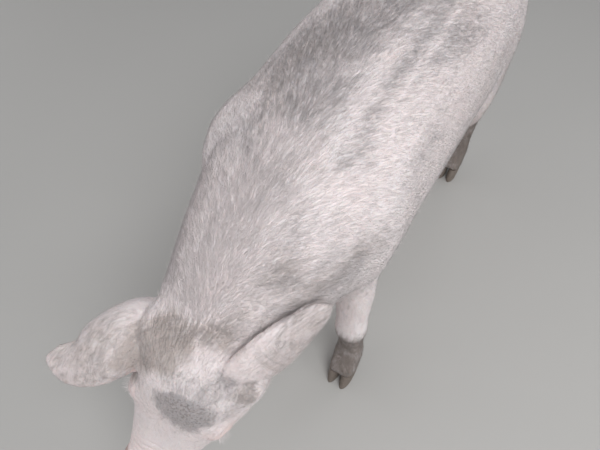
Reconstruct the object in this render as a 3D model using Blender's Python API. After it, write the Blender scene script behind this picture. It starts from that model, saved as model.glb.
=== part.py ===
"""A white domestic pig, life size and standing, as a still museum model.

Metres, +X towards the nose, +Y to the pig's left, +Z up, with the soles at zero height. The pig is
modelled straight and level first. Then its neck is bent to carry the lowered, tilted head, its
flesh is parted with thin cuts, and the ears, eyes, tail and hooves are set on what carries them.
"""

import math

import bmesh
import bpy
import numpy as np
from mathutils import Matrix

# Gap between touching nodes
GAP = 0.0003

# Fineness of the fused flesh, of the finer fused head, and the triangles kept of each
VOXEL = 0.006
HEAD_VOXEL = 0.0032
BODY_TRIANGLES = 5000
HEAD_TRIANGLES = 4400
EAR_ROWS = 15
EAR_COLUMNS = 11

# The neck's bend, from the straight pose: where it starts and ends along X, and its turns
NECK_START = 0.27
NECK_END = 0.54
NECK_AXIS_HEIGHT = 0.535
NOSE_DOWN = math.radians(40)
NOSE_LEFT = math.radians(-6)
HEAD_ROLL = math.radians(-20)

# Where the upright cut between torso and neck stands, and, straight, those across the head's ends
TORSO_CUT = 0.372
HEAD_CUT = 0.518
SNOUT_CUT = 0.796

# Trunk and neck, straight: x, top line, bottom line, half width, squareness
TRUNK = (
    (-0.478, 0.585, 0.520, 0.020, 2.0),
    (-0.462, 0.622, 0.450, 0.072, 2.1),
    (-0.420, 0.657, 0.400, 0.122, 2.3),
    (-0.340, 0.684, 0.360, 0.155, 2.5),
    (-0.240, 0.697, 0.322, 0.171, 2.6),
    (-0.120, 0.700, 0.288, 0.178, 2.6),
    (0.020, 0.695, 0.272, 0.181, 2.6),
    (0.140, 0.688, 0.274, 0.174, 2.6),
    (0.250, 0.678, 0.286, 0.167, 2.6),
    (0.330, 0.668, 0.314, 0.154, 2.5),
    (0.405, 0.658, 0.356, 0.135, 2.4),
    (0.475, 0.648, 0.390, 0.117, 2.2),
    (0.530, 0.636, 0.410, 0.103, 2.1),
    (0.575, 0.620, 0.425, 0.085, 2.0),
    (0.605, 0.600, 0.450, 0.050, 2.0),
)

# Skull, cheeks and upper jaw, straight: x, top line, bottom line, half width, squareness
HEAD = (
    (0.503, 0.606, 0.450, 0.062, 2.0),
    (0.535, 0.640, 0.424, 0.092, 2.1),
    (0.573, 0.645, 0.420, 0.099, 2.2),
    (0.611, 0.636, 0.421, 0.096, 2.3),
    (0.649, 0.617, 0.425, 0.087, 2.4),
    (0.687, 0.593, 0.432, 0.0765, 2.4),
    (0.724, 0.571, 0.442, 0.0665, 2.3),
    (0.762, 0.554, 0.453, 0.0575, 2.3),
    (0.790, 0.545, 0.463, 0.0495, 2.2),
    (0.812, 0.542, 0.469, 0.0430, 2.1),
)

# Lower jaw, straight: x, top line, bottom line, half width, squareness
JAW = (
    (0.600, 0.475, 0.440, 0.050, 2.0),
    (0.640, 0.478, 0.416, 0.062, 2.2),
    (0.690, 0.474, 0.418, 0.054, 2.2),
    (0.735, 0.470, 0.428, 0.044, 2.2),
    (0.768, 0.467, 0.436, 0.035, 2.2),
    (0.788, 0.463, 0.443, 0.024, 2.0),
    (0.794, 0.457, 0.449, 0.010, 2.0),
)

# Rim of the snout's disc, straight: x, top line, bottom line, half width, squareness
DISC = (
    (0.793, 0.540, 0.470, 0.0420, 2.0),
    (0.798, 0.547, 0.464, 0.0475, 2.1),
    (0.806, 0.550, 0.462, 0.0495, 2.2),
    (0.814, 0.549, 0.463, 0.0490, 2.2),
    (0.819, 0.545, 0.467, 0.0460, 2.2),
    (0.8205, 0.537, 0.475, 0.0390, 2.2),
)
NOSTRIL = (0.8215, 0.0180, 0.5075)
NOSTRIL_RADII = (0.0190, 0.0074, 0.0100)
NOSTRIL_TILT = 25

# Line of the mouth on one side, straight, from its corner to the chin: x, height
MOUTH = (
    (0.676, 0.4840),
    (0.692, 0.4750),
    (0.715, 0.4690),
    (0.745, 0.4665),
    (0.775, 0.4645),
    (0.800, 0.4635),
)
# How deep and wide the mouth's cut is, how soon it deepens, and where it runs through in front
MOUTH_DEPTH = 0.0075
MOUTH_SLIT = 0.0024
MOUTH_FADE = 0.016
MOUTH_FRONT = 0.786
LIP_RADIUS = 0.0075
LIP_DROP = 0.0163

# Eyes, straight: centre of the left one, the way it looks, ball, lids and opening
EYE = (0.6640, 0.0660, 0.5630)
EYE_WAY = (0.42, 0.88, 0.20)
EYE_RADIUS = 0.0120
LID_RADII = (0.0195, 0.0160, 0.0160)
EYE_OPENING = (0.0108, 0.0058)
EYE_SLANT = math.radians(18)

# Ears, in the head's straight frame: the line of the back of the ear from inside the head to the tip
RIGHT_EAR_LINE = (
    (0.556, -0.062, 0.585),
    (0.576, -0.094, 0.615),
    (0.617, -0.119, 0.627),
    (0.657, -0.145, 0.617),
    (0.675, -0.191, 0.606),
)
RIGHT_EAR_BACK = (-0.10, -0.05, 1.0)
LEFT_EAR_LINE = (
    (0.574, 0.054, 0.584),
    (0.556, 0.074, 0.618),
    (0.512, 0.090, 0.624),
    (0.466, 0.104, 0.615),
    (0.420, 0.121, 0.600),
)
LEFT_EAR_BACK = (0.05, 0.75, 0.65)
# How much of its cup each ear keeps: the left one is pressed flat along the neck
RIGHT_EAR_CUP = 1.0
LEFT_EAR_CUP = 0.52
# Along an ear: share of the line, half width, half angle of the cup, thickness
EAR_SHAPE = (
    (0.00, 0.034, 100, 0.0085),
    (0.18, 0.040, 92, 0.0070),
    (0.36, 0.046, 72, 0.0058),
    (0.55, 0.045, 56, 0.0050),
    (0.74, 0.036, 46, 0.0046),
    (0.89, 0.027, 38, 0.0042),
    (0.97, 0.016, 34, 0.0038),
    (1.00, 0.005, 30, 0.0034),
)

# Paired lumps that round out the trunk: name, centre of the left one, radii, turns in degrees
TRUNK_LUMPS = (
    ("shoulder", (0.262, 0.094, 0.475), (0.125, 0.076, 0.165), (-5, 12, 0)),
    ("ham", (-0.332, 0.090, 0.475), (0.130, 0.076, 0.165), (-4, -8, 0)),
)
RIGHT_SHOULDER_OUT = 0.016

# The trunk's bend to its right, between two places along it: none at the low height, all at the high one
BEND = 0.030
BEND_BACK = -0.480
BEND_FRONT = 0.510
BEND_LOW = 0.20
BEND_HIGH = 0.40

# Paired lumps on the head, straight
HEAD_LUMPS = (
    ("jowl", (0.560, 0.058, 0.474), (0.076, 0.043, 0.056), (0, 20, 0)),
    ("cheek", (0.640, 0.050, 0.482), (0.062, 0.036, 0.046), (0, 25, 0)),
    ("brow", (0.650, 0.055, 0.579), (0.040, 0.022, 0.013), (25, 18, 0)),
    ("ear_root", (0.564, 0.068, 0.594), (0.046, 0.030, 0.031), (-30, 0, 0)),
)

# Legs, the left one of each pair, from inside the trunk to the coronet: x, y, z, depth in front,
# depth behind, half width
FORELEG = (
    (0.285, 0.090, 0.500, 0.0800, 0.0800, 0.040),
    (0.282, 0.094, 0.420, 0.0860, 0.0820, 0.050),
    (0.270, 0.096, 0.345, 0.0600, 0.0680, 0.046),
    (0.283, 0.099, 0.270, 0.0430, 0.0470, 0.040),
    (0.298, 0.103, 0.220, 0.0330, 0.0340, 0.034),
    (0.302, 0.105, 0.190, 0.0370, 0.0320, 0.036),
    (0.300, 0.106, 0.160, 0.0290, 0.0290, 0.030),
    (0.300, 0.107, 0.122, 0.0265, 0.0275, 0.027),
    (0.303, 0.107, 0.085, 0.0300, 0.0340, 0.032),
    (0.315, 0.107, 0.058, 0.0310, 0.0310, 0.032),
    (0.325, 0.107, 0.036, 0.0300, 0.0300, 0.031),
    (0.327, 0.107, 0.016, 0.0220, 0.0220, 0.024),
)
HINDLEG = (
    (-0.340, 0.085, 0.560, 0.1000, 0.1000, 0.050),
    (-0.335, 0.098, 0.470, 0.1250, 0.1280, 0.062),
    (-0.318, 0.106, 0.385, 0.1050, 0.1150, 0.060),
    (-0.345, 0.108, 0.315, 0.0720, 0.0720, 0.046),
    (-0.405, 0.108, 0.255, 0.0430, 0.0400, 0.033),
    (-0.432, 0.108, 0.215, 0.0360, 0.0340, 0.029),
    (-0.430, 0.107, 0.170, 0.0290, 0.0310, 0.027),
    (-0.424, 0.107, 0.125, 0.0260, 0.0270, 0.026),
    (-0.419, 0.107, 0.085, 0.0290, 0.0330, 0.031),
    (-0.407, 0.107, 0.058, 0.0300, 0.0300, 0.031),
    (-0.397, 0.107, 0.036, 0.0290, 0.0290, 0.030),
    (-0.395, 0.107, 0.016, 0.0210, 0.0210, 0.023),
)
# Each leg: name, side, whether it is in front, and how far its foot is moved forward and outward
LEGS = (
    ("foreleg_left", 1, True, 0.000, 0.010),
    ("foreleg_right", -1, True, -0.030, 0.000),
    ("hindleg_left", 1, False, -0.012, -0.014),
    ("hindleg_right", -1, False, 0.040, 0.002),
)
LEG_TOP = 0.420

# The blocks that part the legs from the trunk: outlines of x and z, and how far out they start
FORELEG_BLOCK = (
    (0.150, -0.050),
    (0.430, -0.050),
    (0.372, 0.330),
    (0.335, 0.420),
    (0.225, 0.425),
    (0.180, 0.330),
)
HINDLEG_BLOCK = (
    (-0.560, -0.050),
    (-0.300, -0.050),
    (-0.222, 0.325),
    (-0.240, 0.400),
    (-0.385, 0.470),
    (-0.560, 0.420),
)
LEG_INNER = 0.042
LEG_OUTER = 0.300

# Feet: the coronet, where a claw stands from the foot's middle, and the claws' half sizes
CORONET_HEIGHT = 0.034
CORONET_SLOPE = 0.22
CLAW_APART = 0.0158
CLAW_TOP = (0.0265, 0.0142)
CLAW_SOLE = (0.0290, 0.0125)
CLAW_TOE = 0.010
CLAW_NARROWING = 0.28
DEWCLAW_START = (-0.022, 0.0, 0.070)
DEWCLAW_WAY = (-0.62, 0.18, -0.78)
DEWCLAW_RADIUS = 0.0088
DEWCLAW_LENGTH = 0.036
DIGIT_APART = 0.0165
DIGIT_RADII = (0.0270, 0.0155, 0.0260)

# Tail: its root, the curl's axis and sizes
TAIL_ROOT = (-0.452, 0.0, 0.618)
TAIL_START = (-0.492, 0.0, 0.612)
TAIL_AXIS = (-0.38, 0.28, -0.85)
TAIL_CURL = 0.024
TAIL_DROP = 0.072
TAIL_TURNS = 1.2
TAIL_RADII = (0.0135, 0.0110, 0.0085, 0.0060, 0.0035)
TAIL_SWELLING = (-0.462, 0.0, 0.606)
TAIL_SWELLING_RADII = (0.030, 0.022, 0.024)
VULVA = (-0.474, 0.0, 0.532)
VULVA_RADII = (0.014, 0.013, 0.022)

# Colours and roughness
FLESH = ((0.72, 0.60, 0.54), 0.65)
SNOUT = ((0.66, 0.42, 0.36), 0.50)
EYEBALL = ((0.03, 0.02, 0.015), 0.08)
HORN = ((0.16, 0.13, 0.10), 0.60)


def through(keys, values, at):
    """A smooth curve through the values at the keys, without overshoot, read at the given places."""
    keys = np.asarray(keys, float)
    values = np.asarray(values, float)
    at = np.asarray(at, float)
    step = np.diff(keys)
    slope = np.diff(values, axis=0) / step[:, None]
    tangent = np.zeros_like(values)
    tangent[1:-1] = (slope[:-1] * step[1:, None] + slope[1:] * step[:-1, None]) / (
        step[1:, None] + step[:-1, None]
    )
    tangent[0], tangent[-1] = slope[0], slope[-1]
    flat = slope[:-1] * slope[1:] <= 0
    tangent[1:-1][flat] *= 0.35
    i = np.clip(np.searchsorted(keys, at) - 1, 0, len(step) - 1)
    t = ((at - keys[i]) / step[i])[:, None]
    h = step[i][:, None]
    return (
        values[i] * (2 * t**3 - 3 * t**2 + 1)
        + tangent[i] * h * (t**3 - 2 * t**2 + t)
        + values[i + 1] * (3 * t**2 - 2 * t**3)
        + tangent[i + 1] * h * (t**3 - t**2)
    )


def along_line(line, count):
    """Points evenly along a smooth line through the given points."""
    line = np.asarray(line, float)
    reach = np.concatenate([[0], np.cumsum(np.linalg.norm(np.diff(line, axis=0), axis=1))])
    return through(reach, line, np.linspace(0, reach[-1], count))


def unit(vectors):
    vectors = np.asarray(vectors, float)
    return vectors / np.linalg.norm(vectors, axis=-1, keepdims=True)


def mesh_object(name, points, faces):
    mesh = bpy.data.meshes.new(name)
    mesh.from_pydata([tuple(p) for p in points], [], faces)
    obj = bpy.data.objects.new(name, mesh)
    bpy.context.scene.collection.objects.link(obj)
    outward(obj)
    return obj


def outward(obj):
    bm = bmesh.new()
    bm.from_mesh(obj.data)
    bmesh.ops.recalc_face_normals(bm, faces=bm.faces)
    bm.to_mesh(obj.data)
    bm.free()


def skin_over(name, rings):
    """A closed mesh over rings of points, all with the same count, with a pole at each end."""
    count, sides = len(rings), len(rings[0])
    points = [p for ring in rings for p in ring]
    points += [np.mean(rings[0], axis=0), np.mean(rings[-1], axis=0)]
    faces = []
    for i in range(count - 1):
        for j in range(sides):
            k = (j + 1) % sides
            faces.append((i * sides + j, i * sides + k, (i + 1) * sides + k, (i + 1) * sides + j))
    first, last = count * sides, count * sides + 1
    for j in range(sides):
        k = (j + 1) % sides
        faces.append((first, k, j))
        faces.append((last, (count - 1) * sides + j, (count - 1) * sides + k))
    return mesh_object(name, points, faces)


def plate(name, outer, inner):
    """A closed shell between two grids of points of the same shape."""
    rows, columns = outer.shape[:2]
    points = np.concatenate([outer.reshape(-1, 3), inner.reshape(-1, 3)])
    other = rows * columns
    faces = []
    for i in range(rows - 1):
        for j in range(columns - 1):
            a = i * columns + j
            quad = (a, a + 1, a + columns + 1, a + columns)
            faces.append(quad)
            faces.append(tuple(other + q for q in reversed(quad)))
    edge = [j for j in range(columns)]
    edge += [(i + 1) * columns - 1 for i in range(1, rows)]
    edge += [(rows - 1) * columns + j for j in range(columns - 2, -1, -1)]
    edge += [i * columns for i in range(rows - 2, 0, -1)]
    for a, b in zip(edge, edge[1:] + edge[:1]):
        faces.append((a, b, other + b, other + a))
    return mesh_object(name, points, faces)


def oval(sides, power):
    """A rounded outline of unit half sizes: 2 is an ellipse, and more is squarer."""
    angle = np.arange(sides) * 2 * math.pi / sides
    c, s = np.cos(angle), np.sin(angle)
    return np.sign(c) * np.abs(c) ** (2 / power), np.sign(s) * np.abs(s) ** (2 / power)


def barrel(name, stations, rings=64, sides=40):
    """A form along X from its stations: x, top, bottom, half width, squareness."""
    table = np.array(stations)
    along = np.linspace(table[0, 0], table[-1, 0], rings)
    sizes = through(table[:, 0], table[:, 1:], along)
    outline = []
    for x, (top, bottom, half, power) in zip(along, sizes):
        across, up = oval(sides, power)
        middle, tall = (top + bottom) / 2, (top - bottom) / 2
        outline.append(np.stack([np.full(sides, x), half * across, middle + tall * up], axis=1))
    return skin_over(name, outline)


def limb(name, stops, rings=48, sides=24):
    """A leg form down its stops: x, y, z, depth in front, depth behind, half width."""
    table = np.array(stops)
    reach = np.concatenate([[0], np.cumsum(np.linalg.norm(np.diff(table[:, :3], axis=0), axis=1))])
    sizes = through(reach, table, np.linspace(0, reach[-1], rings))
    run = unit(np.gradient(sizes[:, :3], axis=0))
    outline = []
    across, fore = oval(sides, 2.1)
    for centre, way, (front, back, half) in zip(sizes[:, :3], run, sizes[:, 3:]):
        forward = unit(np.cross(way, [0, 1, 0]))
        side = np.cross(forward, way)
        depth = np.where(fore > 0, front, back)
        outline.append(centre + np.outer(half * across, side) + np.outer(depth * fore, forward))
    return skin_over(name, outline)


def rod(name, line, radii, sides=10):
    """A round form along a line of points, with a radius at each."""
    line = np.asarray(line, float)
    run = unit(np.gradient(line, axis=0))
    side = unit(np.cross(run[0], [0.3, 0.2, 1.0]))
    angle = np.arange(sides) * 2 * math.pi / sides
    rings = []
    for centre, way, radius in zip(line, run, radii):
        side = unit(side - way * (side @ way))
        up = np.cross(way, side)
        rings.append(centre + radius * (np.outer(np.cos(angle), side) + np.outer(np.sin(angle), up)))
    return skin_over(name, rings)


def lump(name, centre, radii, turns=(0, 0, 0), fineness=4):
    """An ellipsoid, turned about X, Y and Z in degrees."""
    mesh = bpy.data.meshes.new(name)
    bm = bmesh.new()
    bmesh.ops.create_icosphere(bm, subdivisions=fineness, radius=1)
    matrix = Matrix.Translation(centre)
    for axis, turn in zip("XYZ", turns):
        matrix = matrix @ Matrix.Rotation(math.radians(turn), 4, axis)
    bmesh.ops.transform(bm, matrix=matrix @ Matrix.Diagonal((*radii, 1)), verts=bm.verts)
    bm.to_mesh(mesh)
    bm.free()
    obj = bpy.data.objects.new(name, mesh)
    bpy.context.scene.collection.objects.link(obj)
    return obj


def spread(outline, by):
    """A convex outline, counter-clockwise, moved outward by a distance, with sharp corners."""
    outline = np.asarray(outline, float)
    run = unit(np.roll(outline, -1, axis=0) - outline)
    normal = np.stack([run[:, 1], -run[:, 0]], axis=1)
    before = np.roll(normal, 1, axis=0)
    corner = before + normal
    return outline + by * corner / (0.5 * (corner**2).sum(axis=1))[:, None]


def prism(name, outline, y0, y1, by=0.0):
    """A block across Y over an outline of x and z, grown all round by a distance."""
    low, high = min(y0, y1) - by, max(y0, y1) + by
    flat = spread(outline, by)
    points = [(x, y, z) for y in (low, high) for x, z in flat]
    n = len(flat)
    faces = [tuple(range(n)), tuple(range(n, 2 * n))]
    faces += [(i, (i + 1) % n, n + (i + 1) % n, n + i) for i in range(n)]
    return mesh_object(name, points, faces)


def coordinates(mesh):
    points = np.empty(len(mesh.vertices) * 3)
    mesh.vertices.foreach_get("co", points)
    return points.reshape(-1, 3)


def place(obj, points):
    obj.data.vertices.foreach_set("co", np.asarray(points, float).ravel())
    obj.data.update()


def joined(name, parts):
    """One object of all the parts' faces, and the parts removed."""
    bm = bmesh.new()
    for part in parts:
        bm.from_mesh(part.data)
        bpy.data.objects.remove(part)
    mesh = bpy.data.meshes.new(name)
    bm.to_mesh(mesh)
    bm.free()
    obj = bpy.data.objects.new(name, mesh)
    bpy.context.scene.collection.objects.link(obj)
    return obj


def copy_of(obj, name):
    twin = bpy.data.objects.new(name, obj.data.copy())
    bpy.context.scene.collection.objects.link(twin)
    return twin


def settle(obj):
    """Applies the object's modifiers."""
    graph = bpy.context.evaluated_depsgraph_get()
    mesh = bpy.data.meshes.new_from_object(obj.evaluated_get(graph))
    obj.modifiers.clear()
    obj.data = mesh


def fuse(obj, voxel):
    """Melts the overlapping forms into one closed skin."""
    remesh = obj.modifiers.new("fuse", "REMESH")
    remesh.mode = "VOXEL"
    remesh.voxel_size = voxel
    settle(obj)


def coarsen(obj, triangles):
    """Thins the mesh to about so many triangles, keeping its form."""
    have = sum(len(face.vertices) - 2 for face in obj.data.polygons)
    thin = obj.modifiers.new("coarsen", "DECIMATE")
    thin.ratio = triangles / have
    settle(obj)


def relax(obj, steps, keep_out=False):
    """Evens the skin. With keep_out it only fills the creases where forms meet."""
    mesh = obj.data
    points = coordinates(mesh)
    ends = np.empty(len(mesh.edges) * 2, np.int64)
    mesh.edges.foreach_get("vertices", ends)
    a, b = ends.reshape(-1, 2).T
    share = np.bincount(np.concatenate([a, b]), minlength=len(points))[:, None]
    for _ in range(steps):
        total = np.zeros_like(points)
        for axis in range(3):
            total[:, axis] = np.bincount(a, points[b, axis], len(points)) + np.bincount(
                b, points[a, axis], len(points)
            )
        move = total / share - points
        if keep_out:
            place(obj, points)
            normal = np.empty(len(points) * 3)
            mesh.vertex_normals.foreach_get("vector", normal)
            normal = normal.reshape(-1, 3)
            rise = np.maximum((move * normal).sum(axis=1), 0)
            points += 0.9 * rise[:, None] * normal
        else:
            points += 0.5 * move
    place(obj, points)


def cut(obj, cutters, operation="DIFFERENCE", solver="EXACT"):
    """Cuts the object by closed cutters, which are then removed."""
    for cutter in cutters:
        knife = obj.modifiers.new("cut", "BOOLEAN")
        knife.operation = operation
        knife.solver = solver
        knife.object = cutter
        settle(obj)
        bpy.data.objects.remove(cutter)
    largest_only(obj)


def largest_only(obj):
    """Splits the faces into triangles and keeps only the largest closed surface, by its box."""
    bm = bmesh.new()
    bm.from_mesh(obj.data)
    bmesh.ops.remove_doubles(bm, verts=bm.verts, dist=1e-6)
    bmesh.ops.triangulate(bm, faces=bm.faces)
    left = set(bm.verts)
    groups = []
    while left:
        seed = left.pop()
        group, todo = {seed}, [seed]
        while todo:
            for edge in todo.pop().link_edges:
                for vert in edge.verts:
                    if vert in left:
                        left.discard(vert)
                        group.add(vert)
                        todo.append(vert)
        spans = [max(v.co[i] for v in group) - min(v.co[i] for v in group) for i in range(3)]
        groups.append((sum(spans), group))
    groups.sort(key=lambda pair: pair[0])
    for _, group in groups[:-1]:
        bmesh.ops.delete(bm, geom=list(group), context="VERTS")
    bm.to_mesh(obj.data)
    bm.free()
    obj.data.update()


def grown(obj, name, by=GAP):
    """A copy of a node, a little larger all round, to cut what is set on it."""
    twin = copy_of(obj, name)
    mesh = twin.data
    normal = np.empty(len(mesh.vertices) * 3)
    mesh.vertex_normals.foreach_get("vector", normal)
    place(twin, coordinates(mesh) + by * 1.25 * normal.reshape(-1, 3))
    return twin


def cut_flat(obj, origin, normal):
    """Takes away all that lies on the normal's side of a plane, and closes the cut."""
    bm = bmesh.new()
    bm.from_mesh(obj.data)
    geometry = bm.verts[:] + bm.edges[:] + bm.faces[:]
    made = bmesh.ops.bisect_plane(
        bm, geom=geometry, dist=1e-7, plane_co=origin, plane_no=normal, clear_outer=True
    )
    rim = [item for item in made["geom_cut"] if isinstance(item, bmesh.types.BMEdge)]
    made = bmesh.ops.contextual_create(bm, geom=rim)
    bmesh.ops.triangulate(bm, faces=made["faces"])
    bm.to_mesh(obj.data)
    bm.free()
    outward(obj)
    largest_only(obj)


def turn_about(axis, angle):
    return np.array(Matrix.Rotation(angle, 3, axis))


def neck_turns(steps=64):
    """The turns and centres along the neck's bend."""
    marks = np.linspace(NECK_START, NECK_END, steps + 1)
    turns = [
        turn_about("Z", NOSE_LEFT * s) @ turn_about("Y", NOSE_DOWN * s) @ turn_about("X", HEAD_ROLL * s)
        for s in np.linspace(0, 1, steps + 1)
    ]
    centres = [np.array([NECK_START, 0.0, NECK_AXIS_HEIGHT])]
    for i in range(steps):
        centres.append(centres[-1] + (turns[i] + turns[i + 1])[:, 0] / 2 * (marks[1] - marks[0]))
    return np.array(turns), np.array(centres)


def posed(points):
    """Bends the straight neck and carries the head with it."""
    points = np.asarray(points, float)
    turns, centres = neck_turns()
    steps = len(turns) - 1
    reach = np.clip((points[:, 0] - NECK_START) / (NECK_END - NECK_START) * steps, 0, steps)
    low = np.minimum(reach.astype(int), steps - 1)
    part = (reach - low)[:, None]
    beyond = np.maximum(points[:, 0] - NECK_END, 0)
    local = np.stack([beyond, points[:, 1], points[:, 2] - NECK_AXIS_HEIGHT], axis=1)
    turn = turns[low] * (1 - part[:, :, None]) + turns[low + 1] * part[:, :, None]
    centre = centres[low] * (1 - part) + centres[low + 1] * part
    moved = centre + np.einsum("nij,nj->ni", turn, local)
    return np.where((points[:, 0] > NECK_START)[:, None], moved, points)


def bent(points):
    """Moves the middle of the trunk to the pig's right, so that its back is bent sideways."""
    share = np.clip((points[:, 0] - BEND_BACK) / (BEND_FRONT - BEND_BACK), 0, 1)
    height = np.clip((points[:, 2] - BEND_LOW) / (BEND_HIGH - BEND_LOW), 0, 1)
    moved = np.array(points, float)
    moved[:, 1] -= BEND * np.sin(math.pi * share) ** 2 * height**2 * (3 - 2 * height)
    return moved


def with_head(points):
    """Carries points of the straight frame as if they were all fixed to the head."""
    turns, centres = neck_turns()
    local = np.asarray(points, float) - (NECK_END, 0.0, NECK_AXIS_HEIGHT)
    return centres[-1] + local @ turns[-1].T


def neck_plane(x):
    """The posed plane across the neck or head at a straight x: a point on it and its normal."""
    ahead = posed([(x, 0, NECK_AXIS_HEIGHT), (x + 0.001, 0, NECK_AXIS_HEIGHT)])
    return ahead[0], unit(ahead[1] - ahead[0])


def surface_half(table, x, z):
    """Half width of a barrel's surface at a straight x and height."""
    table = np.array(table)
    top, bottom, half, power = through(table[:, 0], table[:, 1:], [x])[0]
    rise = min(abs(z - (top + bottom) / 2) / ((top - bottom) / 2), 0.999)
    return half * (1 - rise**power) ** (1 / power)


def leg_stops(side, is_front, ahead, out):
    """The stops of one leg, with its foot moved forward and outward from where it would stand."""
    stops = np.array(FORELEG if is_front else HINDLEG)
    lower = np.clip((LEG_TOP - stops[:, 2]) / LEG_TOP, 0, 1)
    stops[:, 0] += ahead * lower
    stops[:, 1] = side * (stops[:, 1] + out * lower)
    return stops


def foot_place(stops):
    """Middle of the foot under the last stops."""
    return np.array([stops[-2][0], stops[-2][1], 0.0])


def digits(stops):
    """The two fleshy digits of a foot, so that a cleft shows between them."""
    x, y, _ = foot_place(stops)
    forms = []
    for apart in (-DIGIT_APART, DIGIT_APART):
        forms.append(lump("digit", (x + 0.004, y + apart, 0.040), DIGIT_RADII))
    return forms


def paired(table, side):
    """The lumps of a table, on one side."""
    forms = []
    for name, centre, radii, (roll, pitch, yaw) in table:
        forms.append(lump(name, np.array(centre) * (1, side, 1), radii, (side * roll, pitch, side * yaw)))
    return forms


def trunk_forms():
    """The trunk, with its neck and back bent, shoulders, hams, legs and tail root."""
    forms = [barrel("trunk", TRUNK)]
    place(forms[0], posed(coordinates(forms[0].data)))
    for _, side, is_front, ahead, out in LEGS:
        stops = leg_stops(side, is_front, ahead, out)
        forms.append(limb("leg", stops))
        forms += digits(stops)
    forms += paired(TRUNK_LUMPS, 1)
    right = paired(TRUNK_LUMPS, -1)
    place(right[0], coordinates(right[0].data) - (0, RIGHT_SHOULDER_OUT, 0))
    forms += right
    forms.append(lump("tail_root", TAIL_SWELLING, TAIL_SWELLING_RADII))
    forms.append(lump("vulva", VULVA, VULVA_RADII))
    for form in forms:
        place(form, bent(coordinates(form.data)))
    return forms


def lips(side):
    """The upper and the lower lip along one side of the mouth."""
    forms = []
    for radius, drop in ((LIP_RADIUS, 0.0), (LIP_RADIUS * 0.85, LIP_DROP)):
        line = mouth_line(side, inset=radius * 0.62, lift=radius * 0.9 - drop, ends=0.008)
        order = np.arange(len(line))
        taper = np.clip(np.minimum(order + 1.5, len(line) + 2 - order) / 6, 0.3, 1)
        forms.append(rod("lip", line, radius * taper))
    return forms


def head_forms():
    """The head's forms, straight: skull, jaw, disc, jowls, cheeks, brows, ear roots, lips, lids."""
    forms = [barrel("skull", HEAD, 56), barrel("jaw", JAW, 32, 24), barrel("disc", DISC, 24, 32)]
    for side in (1, -1):
        forms += paired(HEAD_LUMPS, side) + lips(side) + [lid_dome(side)]
    return forms


def mouth_line(side, inset=0.0, lift=0.0, ends=0.0, count=18):
    """Points along one side of the mouth, from its corner to below the disc, on the head's surface."""
    marks = np.array(MOUTH)
    along = np.linspace(marks[0, 0] + ends, marks[-1, 0] - ends, count)
    heights = through(marks[:, 0], marks[:, 1:], along)[:, 0]
    line = []
    for x, z in zip(along, heights):
        half = max(surface_half(HEAD, min(x, 0.810), max(z, 0.470)), 0.006)
        line.append((x, side * max(half - inset, 0.004), z + lift))
    return np.array(line)


def mouth_blade(side):
    """A thin blade along one side of the muzzle, and through it in front, that cuts the mouth's line."""
    line = mouth_line(side)
    behind = line[:, 0] - line[0, 0]
    deep = MOUTH_DEPTH * np.clip(behind / MOUTH_FADE, 0.25, 1)
    inner = np.where(line[:, 0] > MOUTH_FRONT, -0.001, np.abs(line[:, 1]) - deep)
    rings = []
    for (x, y, z), near in zip(line, inner):
        far = abs(y) + 0.020
        half = MOUTH_SLIT / 2
        rings.append([
            (x, side * near, z - half),
            (x, side * far, z - 2 * half),
            (x, side * far, z + 2 * half),
            (x, side * near, z + half),
        ])
    return skin_over("mouth", rings)


def eye_frame(side):
    """The eye's axes in the straight frame: along its opening, up, and the way it looks."""
    way = unit(np.array(EYE_WAY) * (1, side, 1))
    along = unit(np.cross([0, 0, 1.0], way) * side)
    up = unit(np.cross(way, along) * side)
    c, s = math.cos(EYE_SLANT), math.sin(EYE_SLANT)
    return along * c + up * s, up * c - along * s, way


def eye_centre(side):
    return np.array(EYE) * (1, side, 1)


def oriented(obj, axes, centre):
    """Turns an object made about the origin to three axes and moves it to a centre."""
    place(obj, coordinates(obj.data) @ np.array(axes) + centre)
    outward(obj)
    return obj


def lid_dome(side):
    return oriented(lump("lids", (0, 0, 0), LID_RADII), eye_frame(side), eye_centre(side))


def eye_gap(side):
    """The almond between the lids, as a block that widens outward."""
    half, tall = EYE_OPENING
    share = np.linspace(-1, 1, 9)
    arch = 1 - share**2
    upper = np.stack([share * half, arch * tall], axis=1)
    lower = np.stack([-share * half, -arch * tall * 0.8], axis=1)[1:-1]
    rim = np.concatenate([upper, lower])
    rings = []
    for deep, wide in ((0.002, 0.92), (0.010, 0.98), (0.0135, 1.05), (0.028, 1.60)):
        rings.append(np.column_stack([rim * wide, np.full(len(rim), deep)]))
    return oriented(skin_over("eye_gap", rings), eye_frame(side), eye_centre(side))


def fused_body():
    body = joined("torso", trunk_forms())
    fuse(body, VOXEL)
    relax(body, 60, keep_out=True)
    relax(body, 4)
    coarsen(body, BODY_TRIANGLES)
    return body


def fused_head():
    """The head and the front of the neck, posed, before the cuts."""
    forms = head_forms() + [barrel("neck", TRUNK)]
    for form in forms:
        place(form, posed(coordinates(form.data)))
    head = joined("head", forms)
    fuse(head, HEAD_VOXEL)
    relax(head, 80, keep_out=True)
    relax(head, 4)
    origin, normal = neck_plane(HEAD_CUT)
    cut_flat(head, origin + normal * GAP / 2, -normal)
    coarsen(head, HEAD_TRIANGLES)
    flatten_onto(head, origin + normal * GAP / 2, normal)
    return head


def flatten_onto(obj, origin, normal, reach=0.0012):
    """Puts the points that lie by a cut's plane exactly on it."""
    points = coordinates(obj.data)
    away = (points - origin) @ normal
    points -= np.where(away < reach, away, 0)[:, None] * normal
    place(obj, points)


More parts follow.
